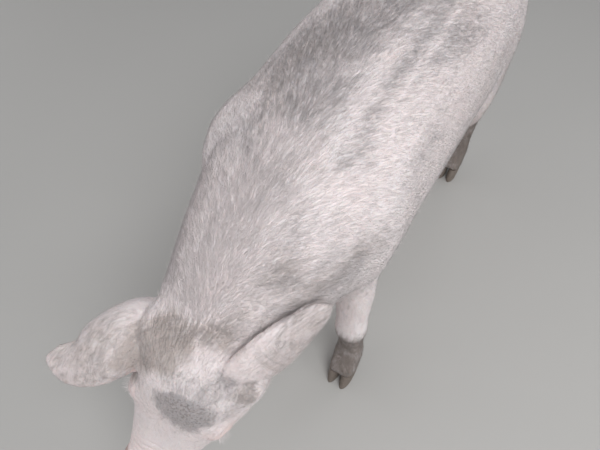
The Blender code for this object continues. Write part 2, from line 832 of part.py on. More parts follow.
def ear(name, line, back, cup, head, neck):
    """A cupped ear on its line, with its root cut to the head."""
    centre = with_head(along_line(line, EAR_ROWS))
    share = np.linspace(0, 1, EAR_ROWS)
    shape = np.array(EAR_SHAPE)
    half, angle, thick = through(shape[:, 0], shape[:, 1:], share).T
    angle = np.radians(angle) * cup
    run = unit(np.gradient(centre, axis=0))
    back = with_head([back])[0] - with_head([(0, 0, 0)])[0]
    back = unit(back - run * (run @ back)[:, None])
    side = np.cross(run, back)
    radius = half / np.sin(np.minimum(angle, math.pi / 2))
    turn = np.linspace(-1, 1, EAR_COLUMNS)
    outer, inner = np.empty((2, EAR_ROWS, EAR_COLUMNS, 3))
    for j, t in enumerate(turn):
        deep = thick / 2 * (1 - 0.6 * abs(t) ** 5)
        for grid, r in ((outer, radius + deep), (inner, radius - deep)):
            bend = t * angle
            grid[:, j] = (
                centre + back * (r * np.cos(bend) - radius)[:, None] + side * (r * np.sin(bend))[:, None]
            )
    obj = plate(name, outer, inner)
    cut(obj, [grown(head, "socket"), grown(neck, "clearance", 0.004)], solver="MANIFOLD")
    return obj


def tail_line(count=26):
    """From inside the rump, out, and round the curl."""
    start, axis = np.array(TAIL_START), unit(TAIL_AXIS)
    first = unit(np.cross([0.0, 1.0, 0.0], axis))
    second = np.cross(axis, first)
    t = np.linspace(0, 1, count)[:, None]
    angle = 2 * math.pi * TAIL_TURNS * t
    curl = first * (1 - np.cos(angle)) + second * np.sin(angle)
    return np.concatenate([[TAIL_ROOT], start + axis * TAIL_DROP * t + TAIL_CURL * curl])


def tail(torso):
    line = tail_line()
    marks = np.linspace(0, 1, len(TAIL_RADII))
    radii = through(marks, np.array(TAIL_RADII)[:, None], np.linspace(0, 1, len(line)))[:, 0]
    obj = rod("tail", line, radii, 9)
    cut(obj, [grown(torso, "rump", 2 * GAP)], solver="MANIFOLD")
    return obj


def coronet_height(stops, x):
    return CORONET_HEIGHT + CORONET_SLOPE * (x - foot_place(stops)[0])


def claw(name, stops, apart):
    """One main claw, from its flat top under the coronet to its flat sole on the floor."""
    x0, y0, _ = foot_place(stops)
    outline = []
    fore, across = oval(18, 2.3)
    for share in (0.0, 0.5, 1.0):
        long = CLAW_TOP[0] + (CLAW_SOLE[0] - CLAW_TOP[0]) * share
        wide = CLAW_TOP[1] + (CLAW_SOLE[1] - CLAW_TOP[1]) * share
        narrow = 1 - CLAW_NARROWING * np.maximum(fore, 0) ** 2
        x = x0 + 0.001 + CLAW_TOE * share + long * fore
        y = y0 + apart * (1 - 0.06 * share) + wide * across * narrow
        top = coronet_height(stops, x) - GAP
        outline.append(np.stack([x, y, top * (1 - share)], axis=1))
    return skin_over(name, outline)


def dewclaw(name, stops, apart, leg):
    """A small claw behind the pastern, clear of the floor."""
    x0, y0, _ = foot_place(stops)
    start = np.array([x0, y0 + apart, 0.0]) + DEWCLAW_START
    way = unit(np.array(DEWCLAW_WAY) * (1, np.sign(apart), 1))
    share = np.array([0, 0.35, 0.7, 0.92, 1.0])
    line = start + way * DEWCLAW_LENGTH * share[:, None]
    obj = rod(name, line, DEWCLAW_RADIUS * np.array([1.0, 1.0, 0.85, 0.55, 0.25]), 10)
    cut(obj, [grown(leg, "pastern")], solver="MANIFOLD")
    return obj


def leg_block(side, is_front, by=0.0):
    """The block that parts a leg from the trunk, grown all round by a distance."""
    outline = FORELEG_BLOCK if is_front else HINDLEG_BLOCK
    return prism("block", outline, side * LEG_INNER, side * LEG_OUTER, by)


def leg(name, side, is_front, stops, body):
    """A leg cut from the body, with its foot's end cut flat at the coronet."""
    obj = copy_of(body, name)
    cut(obj, [leg_block(side, is_front)], "INTERSECT")
    cut_flat(obj, (foot_place(stops)[0], 0, CORONET_HEIGHT), unit([CORONET_SLOPE, 0, -1.0]))
    return obj


def eye(name, side, head):
    """An eyeball, with its socket and the opening of its lids cut into the head."""
    axes, centre = eye_frame(side), eye_centre(side)
    ball = oriented(lump(name, (0, 0, 0), (EYE_RADIUS,) * 3, fineness=3), axes, centre)
    socket = oriented(lump("socket", (0, 0, 0), (EYE_RADIUS + GAP,) * 3, fineness=3), axes, centre)
    gap = eye_gap(side)
    for form in (ball, socket, gap):
        place(form, posed(coordinates(form.data)))
    cut(head, [socket, gap])
    return ball


def snout_from(head):
    """Parts the snout's disc from the head, and cuts its nostrils."""
    tip, way = neck_plane(SNOUT_CUT)
    snout = copy_of(head, "snout")
    cut_flat(snout, tip + way * GAP / 2, -way)
    cut_flat(head, tip - way * GAP / 2, way)
    nostrils = []
    for side in (1, -1):
        centre = np.array(NOSTRIL) * (1, side, 1)
        nostril = lump("nostril", centre, NOSTRIL_RADII, (side * NOSTRIL_TILT, 0, 0), 2)
        place(nostril, posed(coordinates(nostril.data)))
        nostrils.append(nostril)
    cut(snout, nostrils)
    return snout


def material(name, colour, roughness):
    made = bpy.data.materials.new(name)
    made.use_nodes = True
    shader = made.node_tree.nodes["Principled BSDF"]
    shader.inputs["Base Color"].default_value = (*colour, 1.0)
    shader.inputs["Roughness"].default_value = roughness
    shader.inputs["Metallic"].default_value = 0.0
    return made


def paint(obj, colour, roughness):
    """Gives a node its own material, and shades it smooth."""
    obj.data.materials.clear()
    obj.data.materials.append(material(obj.name, colour, roughness))
    obj.data.shade_smooth()
    obj.data.set_sharp_from_angle(angle=math.radians(50))


def claws_of(name, stops, carried):
    """The two claws and two dewclaws of a foot."""
    made = []
    for place_name, apart in (("right", -CLAW_APART), ("left", CLAW_APART)):
        made.append(claw(f"claw_{name}_{place_name}", stops, apart))
        made.append(dewclaw(f"dewclaw_{name}_{place_name}", stops, apart, carried))
    return made


def over_origin(nodes):
    """Moves every node so that the origin is under the middle of the whole."""
    points = np.concatenate([coordinates(node.data) for node in nodes])
    middle = (points.min(axis=0) + points.max(axis=0)) / 2
    for node in nodes:
        place(node, coordinates(node.data) - (middle[0], middle[1], 0.0))


def main():
    for old in list(bpy.data.objects):
        bpy.data.objects.remove(old)

    torso = fused_body()
    head = fused_head()
    neck = copy_of(torso, "neck")
    cut_flat(neck, (TORSO_CUT + GAP / 2, 0, 0), (-1, 0, 0))
    cut_flat(torso, (TORSO_CUT - GAP / 2, 0, 0), (1, 0, 0))
    front, forward = neck_plane(HEAD_CUT)
    cut_flat(neck, front - forward * GAP / 2, forward)

    legs, claws = [], []
    for name, side, is_front, ahead, out in LEGS:
        stops = leg_stops(side, is_front, ahead, out)
        carried = leg(name, side, is_front, stops, torso)
        legs.append(carried)
        claws += claws_of(name, stops, carried)
    for _, side, is_front, _, _ in LEGS:
        cut(torso, [leg_block(side, is_front, GAP)])

    eyes = [eye("eye_left", 1, head), eye("eye_right", -1, head)]
    snout = snout_from(head)
    for side in (1, -1):
        blade = mouth_blade(side)
        place(blade, posed(coordinates(blade.data)))
        cut(head, [blade])
    ears = [
        ear("ear_right", RIGHT_EAR_LINE, RIGHT_EAR_BACK, RIGHT_EAR_CUP, head, neck),
        ear("ear_left", LEFT_EAR_LINE, LEFT_EAR_BACK, LEFT_EAR_CUP, head, neck),
    ]

    flesh = [torso, neck, head, tail(torso)] + ears + legs
    for group, (colour, roughness) in ((flesh, FLESH), ([snout], SNOUT), (eyes, EYEBALL), (claws, HORN)):
        for node in group:
            paint(node, colour, roughness)
    nodes = flesh + [snout] + eyes + claws
    over_origin(nodes)
    return nodes


if __name__ == "__main__":
    main()
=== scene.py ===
"""Looks of a white domestic pig, life size and standing with its head low and tilted.

One skin is fused over the solids of flesh, a coat of short bristles lies on it, and the eyes, lashes
and hooves are pieces of their own. The scene has a plain pale floor, soft light and one camera.
"""

import math

import bmesh
import bpy
import numpy as np
from bpy.props import FloatProperty, FloatVectorProperty, IntProperty, PointerProperty
from mathutils import Matrix, Vector, noise
from mathutils.bvhtree import BVHTree


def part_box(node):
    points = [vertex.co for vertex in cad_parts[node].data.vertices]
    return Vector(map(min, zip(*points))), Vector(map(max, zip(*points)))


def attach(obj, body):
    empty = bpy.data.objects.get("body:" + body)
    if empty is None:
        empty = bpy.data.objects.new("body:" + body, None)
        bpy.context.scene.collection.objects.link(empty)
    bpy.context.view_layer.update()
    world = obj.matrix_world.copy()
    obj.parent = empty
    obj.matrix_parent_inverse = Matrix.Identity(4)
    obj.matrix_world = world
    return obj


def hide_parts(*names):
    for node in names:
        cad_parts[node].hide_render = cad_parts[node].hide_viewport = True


bl_info = {
    "name": "Domestic pig",
    "version": (1, 0, 0),
    "blender": (4, 5, 0),
    "location": "View3D > Sidebar > Pig",
    "description": "Skin, bristles, eyes, hooves and stage of a life-size domestic pig",
    "category": "Object",
}

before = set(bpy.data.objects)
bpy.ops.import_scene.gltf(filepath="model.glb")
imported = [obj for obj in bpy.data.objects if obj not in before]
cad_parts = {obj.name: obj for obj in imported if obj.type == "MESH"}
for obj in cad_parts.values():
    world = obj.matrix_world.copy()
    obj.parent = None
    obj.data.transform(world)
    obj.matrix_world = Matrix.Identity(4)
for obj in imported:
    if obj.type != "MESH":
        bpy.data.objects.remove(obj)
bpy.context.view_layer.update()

BODY = "root"
SEED = 7

# The solids that the skin stands for, and those that it follows closely
LEGS = ("foreleg_left", "foreleg_right", "hindleg_left", "hindleg_right")
EARS = ("ear_left", "ear_right")
FACE_PARTS = ("head", "snout") + EARS
CORE_PARTS = ("torso", "neck", "head", "tail") + LEGS
FLESH = ("torso", "neck") + FACE_PARTS + ("tail",) + LEGS
CLAWS = tuple(sorted(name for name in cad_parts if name.startswith("claw")))
DEWCLAWS = tuple(sorted(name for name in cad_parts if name.startswith("dewclaw")))

# The trunk's own measure: +X forward from the loin, with the torso's front cut and the legs' inner
# cut at these places
TORSO_FRONT = 0.37185
LEG_INNER = 0.042

# The back's bend to the pig's right: how far, between which places, and over which heights it sets in
BEND = 0.030
BEND_BACK = -0.480
BEND_FRONT = 0.510
BEND_LOW = 0.20
BEND_HIGH = 0.40

# The head's own measure, level and straight: how it is turned, and where its left eye is
NOSE_DOWN = math.radians(40)
NOSE_LEFT = math.radians(-6)
HEAD_ROLL = math.radians(-20)
EYE = (0.6640, 0.0660, 0.5630)
EYE_WAY = (0.42, 0.88, 0.20)
EYE_SLANT = math.radians(18)
# Where the neck's lie of hair passes into the head's, and where the snout's bare disc begins
NAPE = (0.46, 0.58)
DISC_EDGE = (0.7935, 0.8005)

# The camera, in the trunk's measure
CAMERA_PLACE = (0.7272, 0.2526, 1.0909)
CAMERA_YAW = 3.6960
CAMERA_DOWN = math.radians(52.2)
CAMERA_ROLL = math.radians(0.56)
CAMERA_LENS = 28.78
SENSOR_WIDTH = 36.0
NEAREST = 0.02


def turn_about(axis, angle):
    return np.array(Matrix.Rotation(angle, 3, axis))


HEAD_TURN = turn_about("Z", NOSE_LEFT) @ turn_about("Y", NOSE_DOWN) @ turn_about("X", HEAD_ROLL)


def middle_of(node):
    low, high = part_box(node)
    return np.array((low + high) / 2)


TRUNK_SHIFT = np.array(
    [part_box("torso")[1].x - TORSO_FRONT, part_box("foreleg_left")[0].y - LEG_INNER, 0.0]
)
LEFT_EYE = middle_of("eye_left")


def on_trunk(points):
    """From the trunk's own measure to the frame."""
    return np.asarray(points, float) + TRUNK_SHIFT


def off_trunk(points):
    return np.asarray(points, float) - TRUNK_SHIFT


def bend_at(points):
    """How far the back is bent to the right at each place of the trunk's measure."""
    share = np.clip((points[:, 0] - BEND_BACK) / (BEND_FRONT - BEND_BACK), 0, 1)
    height = np.clip((points[:, 2] - BEND_LOW) / (BEND_HIGH - BEND_LOW), 0, 1)
    return BEND * np.sin(math.pi * share) ** 2 * height**2 * (3 - 2 * height)


def on_back(points):
    """From the trunk as it would be with a straight back to the frame."""
    points = np.array(points, float)
    points[:, 1] -= bend_at(points)
    return on_trunk(points)


def off_back(points):
    points = off_trunk(points)
    points[:, 1] += bend_at(points)
    return points


def on_head(points):
    """From the head's own measure to the frame."""
    return LEFT_EYE + (np.asarray(points, float) - EYE) @ HEAD_TURN.T


def off_head(points):
    return (np.asarray(points, float) - LEFT_EYE) @ HEAD_TURN + EYE


def length_property(name, about, default, **limits):
    return FloatProperty(name=name, description=about, default=default, unit="LENGTH", **limits)


def colour_property(name, about, default):
    return FloatVectorProperty(name=name, description=about, default=default, subtype="COLOR")


class PigSizes(bpy.types.PropertyGroup):
    """Sizes that a user would change."""

    fineness: length_property("Fineness", "Cell of the fused skin", 0.0021, min=0.0015, max=0.01)
    skin_triangles: IntProperty(
        name="Skin triangles", description="Triangles kept of the skin", default=190000
    )
    coat_depth: length_property("Coat depth", "How far the trunk's skin lies inside the solids", 0.0022)
    face_depth: length_property("Face depth", "How far the face's skin lies inside the solids", 0.0006)
    bristle_length: length_property("Bristle length", "Length of the flank's bristles", 0.0110)
    bristle_width: length_property("Bristle width", "Width of a bristle's root", 0.00040, precision=5)
    bristle_lift: FloatProperty(
        name="Bristle lift",
        description="Angle between a bristle and the skin at its root",
        default=math.radians(13),
        subtype="ANGLE",
    )
    coat_share: FloatProperty(
        name="Coat share",
        description="Share of the full number of bristles",
        default=1.0,
        min=0.01,
        max=1.0,
        subtype="FACTOR",
    )
    floor_size: length_property("Floor size", "Width of the floor", 14.0)


class PigColours(bpy.types.PropertyGroup):
    """Colours that a user would change."""

    white: colour_property("White hair", "Bristles and hide where they lie close", (0.79, 0.742, 0.742))
    pink: colour_property("Pink skin", "Skin where little hair covers it", (0.73, 0.515, 0.475))
    snout: colour_property("Snout", "Bare disc of the snout", (0.58, 0.345, 0.305))
    # The grey mud and brown dirt also colour the marks that are painted shade
    mud: colour_property("Grey mud", "Smears on back, brow and shoulders", (0.295, 0.275, 0.280))
    dirt: colour_property("Brown dirt", "Dry dirt on poll, belly and legs", (0.345, 0.285, 0.245))
    horn: colour_property("Horn", "Claws and dewclaws", (0.17, 0.142, 0.118))
    iris: colour_property("Iris", "Iris of the eyes", (0.13, 0.06, 0.025))
    floor: colour_property("Floor", "Floor of the stage", (0.43, 0.425, 0.41))


def sizes():
    return bpy.context.scene.pig_sizes


def colours():
    return bpy.context.scene.pig_colours


# Mesh helpers


def read(items, field, kind, width):
    """One field of a mesh's items, in rows of so many numbers."""
    values = np.empty(len(items) * width, kind)
    items.foreach_get(field, values)
    return values.reshape(-1, width)


def coordinates(mesh):
    return read(mesh.vertices, "co", np.float32, 3).astype(float)


def normals_of(mesh):
    return read(mesh.vertex_normals, "vector", np.float32, 3).astype(float)


def triangles_of(mesh):
    mesh.calc_loop_triangles()
    return read(mesh.loop_triangles, "vertices", np.int32, 3)


def edges_of(mesh):
    return read(mesh.edges, "vertices", np.int32, 2).T


def place(obj, points):
    obj.data.vertices.foreach_set("co", np.asarray(points, np.float32).ravel())
    obj.data.update()


def link(obj):
    bpy.context.scene.collection.objects.link(obj)
    return obj


def mesh_object(name, points, faces):
    """An object of points and faces that all have the same count of corners."""
    faces = np.asarray(faces, np.int32)
    count, corners = faces.shape
    mesh = bpy.data.meshes.new(name)
    mesh.vertices.add(len(points))
    mesh.vertices.foreach_set("co", np.asarray(points, np.float32).ravel())
    mesh.loops.add(count * corners)
    mesh.loops.foreach_set("vertex_index", faces.ravel())
    mesh.polygons.add(count)
    mesh.polygons.foreach_set("loop_start", np.arange(count, dtype=np.int32) * corners)
    mesh.update(calc_edges=True)
    return link(bpy.data.objects.new(name, mesh))


def settle(obj):
    """Applies the object's modifiers."""
    graph = bpy.context.evaluated_depsgraph_get()
    mesh = bpy.data.meshes.new_from_object(obj.evaluated_get(graph))
    obj.modifiers.clear()
    obj.data = mesh


def thinned(obj, ratio, group=""):
    """Merges triangles until a share is left, mostly where a group of points is strong."""
    thin = obj.modifiers.new("thin", "DECIMATE")
    thin.vertex_group = group
    thin.ratio = ratio
    thin.use_collapse_triangulate = True
    settle(obj)


def whole_mesh(node, grown=0.0):
    """Points and triangles of a solid, with split corners merged, grown outward by a distance."""
    bm = bmesh.new()
    bm.from_mesh(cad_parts[node].data)
    bmesh.ops.remove_doubles(bm, verts=bm.verts, dist=1e-6)
    bmesh.ops.triangulate(bm, faces=bm.faces)
    bmesh.ops.recalc_face_normals(bm, faces=bm.faces)
    bm.normal_update()
    bm.verts.index_update()
    points = np.array([vert.co + vert.normal * grown for vert in bm.verts])
    triangles = np.array([[vert.index for vert in face.verts] for face in bm.faces])
    bm.free()
    return points, triangles


def together(parts):
    """One list of points and one of triangles from several."""
    points, triangles, start = [], [], 0
    for some, faces in parts:
        points.append(some)
        triangles.append(faces + start)
        start += len(some)
    return np.concatenate(points), np.concatenate(triangles)


def fused(name, parts, cell):
    """One closed skin over overlapping closed parts."""
    obj = mesh_object(name, *together(parts))
    remesh = obj.modifiers.new("fuse", "REMESH")
    remesh.mode = "VOXEL"
    remesh.voxel_size = cell
    settle(obj)
    return obj


def evened(values, ends, steps, strength=0.5):
    """Spreads values over a mesh's edges, a step at a time."""
    a, b = ends
    values = np.asarray(values, float)
    flat = values.reshape(len(values), -1).copy()
    share = np.bincount(np.concatenate([a, b]), minlength=len(flat)) + 1e-9
    strength = np.broadcast_to(strength, len(flat))
    for _ in range(steps):
        for axis in range(flat.shape[1]):
            column = flat[:, axis]
            total = np.bincount(a, column[b], len(flat)) + np.bincount(b, column[a], len(flat))
            flat[:, axis] = column + strength * (total / share - column)
    return flat.reshape(values.shape)


def relax(obj, steps, strength=0.5):
    place(obj, evened(coordinates(obj.data), edges_of(obj.data), steps, strength))


def ease(value, low, high):
    """0 below low, 1 above high, and smooth between."""
    share = np.clip((value - low) / (high - low), 0, 1)
    return share * share * (3 - 2 * share)


def fade(value, low, high):
    """1 below low, 0 above high, and smooth between."""
    return 1 - ease(value, low, high)


def blend(first, second, share):
    """Rows of the first where the share is 0, of the second where it is 1, and mixed between."""
    return first * (1 - share)[:, None] + second * share[:, None]


def reach(points, middle, radii=1.0):
    """Distance of each point from a middle, counted in radii."""
    return np.linalg.norm((points - middle) / radii, axis=1)


def unit(vectors):
    vectors = np.asarray(vectors, float)
    return vectors / np.maximum(np.linalg.norm(vectors, axis=-1, keepdims=True), 1e-12)


def rough(points, scale, seed=0.0):
    """Smooth noise from -1 to 1 at each point."""
    shifted = points * scale + seed
    return np.array([noise.noise(Vector(p)) for p in shifted])


# Regions


def build_region_finder():
    parts, owner = [], []
    for number, name in enumerate(FLESH):
        points, triangles = whole_mesh(name)
        parts.append((points, triangles))
        owner += [number] * len(triangles)
    points, triangles = together(parts)
    return BVHTree.FromPolygons(points.tolist(), triangles.tolist()), np.array(owner)


REGION_TREE, REGION_OWNER = build_region_finder()


def region_shares(obj, steps):
    """How much each point of a skin belongs to each part, softened over a few steps."""
    points = coordinates(obj.data)
    nearest = np.array([REGION_OWNER[REGION_TREE.find_nearest(p)[2]] for p in points.tolist()])
    shares = np.zeros((len(points), len(FLESH)))
    shares[np.arange(len(points)), nearest] = 1
    shares = evened(shares, edges_of(obj.data), steps)
    return {name: shares[:, number] for number, name in enumerate(FLESH)}


def share_of(shares, parts):
    return sum(shares[name] for name in parts)


def low_leg_share(points, shares, low, high):
    """How much each place belongs to a leg, fading out between two heights."""
    return share_of(shares, LEGS) * fade(points[:, 2], low, high)


def face_share(local, shares):
    """How far each place lies on the way from the neck to the face."""
    return ease(local[:, 0], *NAPE) * np.clip(share_of(shares, FACE_PARTS) + shares["neck"], 0, 1)


def left_half(local):
    """Places of the head, with those of its right half mirrored to the left."""
    side = local.copy()
    side[:, 1] = np.abs(side[:, 1])
    return side


# Strokes


def line_distance(points, line):
    """Distance of each point to a line of points, and the share along it."""
    best = np.full(len(points), 1e9)
    share = np.zeros(len(points))
    count = len(line) - 1
    for i in range(count):
        start, run = line[i], line[i + 1] - line[i]
        t = np.clip((points - start) @ run / max(run @ run, 1e-12), 0, 1)
        away = np.linalg.norm(points - start - t[:, None] * run, axis=1)
        nearer = away < best
        best[nearer] = away[nearer]
        share[nearer] = (i + t[nearer]) / count
    return best, share


def through(line, count):
    """More points along a smooth line through a few."""
    line = np.asarray(line, float)
    if len(line) < 3:
        return line[0] + np.linspace(0, 1, count)[:, None] * (line[-1] - line[0])
    padded = np.concatenate([[2 * line[0] - line[1]], line, [2 * line[-1] - line[-2]]])
    at = np.linspace(0, len(line) - 1, count)
    i = np.minimum(at.astype(int), len(line) - 2)
    t = (at - i)[:, None]
    p0, p1, p2, p3 = padded[i], padded[i + 1], padded[i + 2], padded[i + 3]
    return 0.5 * (
        2 * p1
        + (p2 - p0) * t
        + (2 * p0 - 5 * p1 + 4 * p2 - p3) * t**2
        + (3 * p1 - p0 - 3 * p2 + p3) * t**3
    )


def on_surface(line, tree):
    """The line's points moved to the nearest places on a surface."""
    return np.array([tree.find_nearest(p)[0] for p in line.tolist()])


def surface_tree(obj):
    return BVHTree.FromPolygons(coordinates(obj.data).tolist(), triangles_of(obj.data).tolist())


class Relief:
    """Raises and sinks lines on a skin, and places them by the skin as it was at first."""

    def __init__(self, skin):
        self.tree = surface_tree(skin)
        self.points, self.normals = coordinates(skin.data), normals_of(skin.data)

    def press(self, line, width, height, ends):
        """Raises the skin along a line, or sinks it where the height is negative."""
        low, high = line.min(axis=0) - 3 * width, line.max(axis=0) + 3 * width
        near = np.where(((self.points > low) & (self.points < high)).all(axis=1))[0]
        away, share = line_distance(self.points[near], line)
        taper = ease(np.minimum(share, 1 - share), 0, ends) if ends > 0 else np.ones(len(near))
        moved = height * taper * np.exp(-((away / width) ** 2))
        self.points[near] += self.normals[near] * moved[:, None]

    def draw(self, line, width, height, ends, carry):
        """Presses a smooth line through a few points of a measure of its own."""
        self.press(on_surface(carry(through(line, STROKE_POINTS)), self.tree), width, height, ends)

    def strokes(self, rows, carry, start=(0, 0, 0), sides=(1, -1)):
        for _, line, width, height, ends in rows:
            for side in sides:
                placed = (metres(line) + start) * (1, side, 1)
                self.draw(placed, metres(width), metres(height), ends, carry)


def metres(millimetres):
    return np.asarray(millimetres, float) / 1000


# Points that a stroke and the mouth's line are drawn with
STROKE_POINTS = 24
MOUTH_POINTS = 20
# Grooves and ridges along lines on the skin, in millimetres: name, points, width, height, and the
# share at each end over which it fades. These are on the head's left side, in its own measure.
MOUTH = (
    (676, 76.5, 484),
    (692, 70, 475),
    (715, 62, 469),
    (745, 52, 466.5),
    (775, 40, 464.5),
    (792, 30, 463.5),
)
LIP = 8
FACE_STROKES = (
    ("mouth", MOUTH, 2, -3.6, 0.1),
    ("upper lip", [(x, y, z + LIP) for x, y, z in MOUTH], 5.5, 1.2, 0.2),
    ("lower lip", [(x, y, z - LIP) for x, y, z in MOUTH], 5.5, 1.2, 0.2),
    ("mouth corner", ((688, 75, 500), (668, 80, 492), (656, 78, 470)), 6, -2.4, 0.35),
    ("cheek fold", ((676, 82, 525), (646, 86, 508), (628, 84, 474)), 8, -2.4, 0.4),
    ("cheek bone", ((694, 78, 542), (650, 86, 536), (600, 94, 556)), 14, 2.8, 0.4),
    ("temple", ((640, 74, 592), (612, 86, 592)), 17, -3.4, 0),
    ("jaw edge", ((600, 70, 440), (640, 66, 432), (690, 54, 430)), 12, 2, 0.35),
    ("jowl crease", ((545, 85, 560), (530, 98, 510), (530, 92, 455)), 10, -3.4, 0.35),
    ("jowl fold", ((575, 98, 540), (562, 100, 500), (566, 90, 455)), 8, -2, 0.4),
    ("nose side", ((705, 65, 530), (745, 59, 520), (786, 49, 512)), 12, -2.2, 0.35),
    ("nose bone", ((680, 32, 598), (730, 29, 567), (780, 26, 548)), 10, 1.2, 0.35),
    ("nostril wing", ((821, 10, 526), (821, 29, 520), (821, 34, 504)), 4, 1.3, 0.3),
)
# Round the left eye, from its middle
EYE_STROKES = (
    ("under the eye", ((22, 6, -14), (2, 12, -22), (-22, 12, -12)), 4.2, -2.2, 0.3),
    ("lower lid crease", ((16, 6, -8), (1, 12, -13), (-16, 12, -5)), 2, -1.3, 0.3),
    ("upper lid crease", ((16, 0, 10), (-2, 4, 18), (-18, 8, 11)), 2.2, -1.8, 0.3),
    ("brow crease", ((18, -6, 18), (-4, -2, 28), (-24, 6, 20)), 3.6, -1.6, 0.35),
    ("brow crease high", ((14, -14, 27), (-8, -10, 36), (-28, -2, 28)), 3, -1.1, 0.35),
    ("tear groove", ((16, 6, -4), (30, 4, -12), (48, -2, -24)), 2.8, -1.8, 0.3),
    ("eye corner", ((-16, 10, 2), (-28, 14, 4), (-38, 16, 1)), 2.2, -1.2, 0.3),
)
# In the head's middle
MIDDLE_STROKES = (
    ("lip cleft", ((822, 0, 500), (822, 0, 485), (818, 0, 468)), 2.8, -1.6, 0.25),
    ("nose ridge", ((690, 0, 592), (740, 0, 565), (785, 0, 547)), 7, -1, 0.3),
    ("throat fold", ((560, 50, 425), (560, 0, 420), (560, -50, 425)), 9, -3, 0.3),
)
# The left nostril, in the head's measure and in metres
NOSTRIL = (0.8215, 0.0180, 0.5075)
NOSTRIL_RADII = (0.0190, 0.0074, 0.0100)
# Wrinkles across the top of the snout, in metres: place along the head, and depth
SNOUT_WRINKLES = ((0.789, 0.0020), (0.780, 0.0017), (0.769, 0.0014), (0.756, 0.0011), (0.741, 0.0008))
WRINKLE_HALF = 0.040
WRINKLE_WIDTH = 0.0024
WRINKLE_TOP = 0.560
WRINKLE_DROP = 0.045
WRINKLE_BACK = 0.004
WRINKLE_ENDS = 0.15

# Millimetres again: on the left side of the trunk and legs, in the trunk's measure
BODY_STROKES = (
    ("shoulder blade", ((205, 85, 675), (245, 140, 560), (285, 155, 440)), 16, 3.5, 0.35),
    ("behind the shoulder", ((150, 80, 680), (165, 160, 540), (160, 155, 400)), 30, -6, 0.35),
    ("before the shoulder", ((330, 70, 660), (345, 120, 570), (350, 125, 450)), 22, -4, 0.35),
    ("elbow fold", ((215, 160, 400), (200, 150, 350), (212, 120, 310)), 9, -5.5, 0.35),
    ("elbow", ((232, 140, 350), (225, 135, 335)), 18, 5, 0),
    ("arm fold", ((330, 130, 430), (345, 120, 380), (330, 100, 345)), 10, -3.5, 0.35),
    ("knee wrinkle", ((325, 85, 205), (336, 107, 205), (325, 130, 205)), 4, -1.5, 0.35),
    ("knee wrinkle low", ((320, 85, 172), (330, 107, 170), (320, 130, 172)), 4, -1.4, 0.35),
    ("flank fold", ((-235, 150, 420), (-215, 155, 370), (-225, 135, 325)), 11, -6.5, 0.35),
    ("flank web", ((-205, 150, 430), (-188, 150, 365), (-192, 125, 315)), 14, 4, 0.35),
    ("flank hollow", ((-180, 165, 600), (-200, 165, 540)), 35, -5, 0),
    ("hip", ((-255, 125, 655), (-265, 135, 640)), 26, 4.5, 0),
    ("ham groove", ((-400, 120, 590), (-425, 140, 500), (-420, 135, 400)), 14, -4, 0.35),
    ("heel tendon", ((-395, 135, 330), (-415, 128, 275)), 10, -3.5, 0.3),
    ("hock wrinkle", ((-392, 125, 225), (-386, 108, 228), (-392, 90, 225)), 5, -1.8, 0.35),
    ("rump edge", ((-455, 30, 600), (-478, 45, 540), (-475, 50, 460)), 12, 2.5, 0.35),
)
# In the trunk's middle
BODY_MIDDLE_STROKES = (
    ("spine", ((180, 0, 690), (-100, 0, 702), (-380, 0, 680)), 16, -2.6, 0.25),
    ("cleft of the hams", ((-490, 0, 500), (-475, 0, 450), (-440, 0, 410)), 11, -11, 0.3),
    ("chest groove", ((350, 0, 380), (300, 0, 320), (220, 0, 285)), 16, -6, 0.35),
    ("vulva cleft", ((-492, 0, 545), (-492, 0, 522)), 2.8, -3, 0.25),
    ("under the tail", ((-480, 0, 580), (-482, 0, 572)), 6, -5, 0),
)
# Folds round the neck, each a part of a ring, in metres: place along the trunk, start and end angle
# in degrees from the top towards the left, width, height
NECK_FOLDS = (
    (0.425, 70, 165, 0.010, -0.0032),
    (0.450, 95, 200, 0.008, -0.0028),
    (0.430, -70, -160, 0.010, -0.0030),
    (0.462, -60, -130, 0.007, -0.0022),
)
NECK_HEIGHT = 0.500
NECK_RADIUS = 0.14
NECK_FOLD_ENDS = 0.35
ARC_POINTS = 9

# Teats in two rows under the belly, in the trunk's measure and in metres: where they are, and the
# width and height of the swelling and of the teat on it
TEAT_PLACES = (0.150, 0.080, 0.010, -0.060, -0.125, -0.190, -0.250)
TEAT_APART = 0.052
TEAT_LEVEL = 0.26
TEAT_FORMS = ((0.017, 0.0022), (0.0052, 0.0085))


def neck_ring(x, start, end):
    angles = np.radians(np.linspace(start, end, ARC_POINTS))
    return [(x, NECK_RADIUS * math.sin(a), NECK_HEIGHT + NECK_RADIUS * math.cos(a)) for a in angles]


def snout_wrinkle(x):
    sides = np.linspace(-1, 1, ARC_POINTS)
    return [(x - WRINKLE_BACK * s * s, WRINKLE_HALF * s, WRINKLE_TOP - WRINKLE_DROP * s * s) for s in sides]


def add_forms(skin):
    """Folds, creases, bony edges, lips, wrinkles and teats."""
    relief = Relief(skin)
    relief.strokes(FACE_STROKES, on_head)
    relief.strokes(EYE_STROKES, on_head, EYE)
    relief.strokes(MIDDLE_STROKES, on_head, sides=(1,))
    for x, depth in SNOUT_WRINKLES:
        relief.draw(snout_wrinkle(x), WRINKLE_WIDTH, -depth, WRINKLE_ENDS, on_head)
    relief.strokes(BODY_STROKES, on_back)
    relief.strokes(BODY_MIDDLE_STROKES, on_back, sides=(1,))
    for x, start, end, width, height in NECK_FOLDS:
        relief.draw(neck_ring(x, start, end), width, height, NECK_FOLD_ENDS, on_back)
    for x in TEAT_PLACES:
        for side in (-TEAT_APART, TEAT_APART):
            spot = on_surface(on_back([(x, side, TEAT_LEVEL)]), relief.tree)
            line = np.concatenate([spot, spot + (0, 0, 1e-4)])
            for width, height in TEAT_FORMS:
                relief.press(line, width, height, 0)
    place(skin, relief.points)


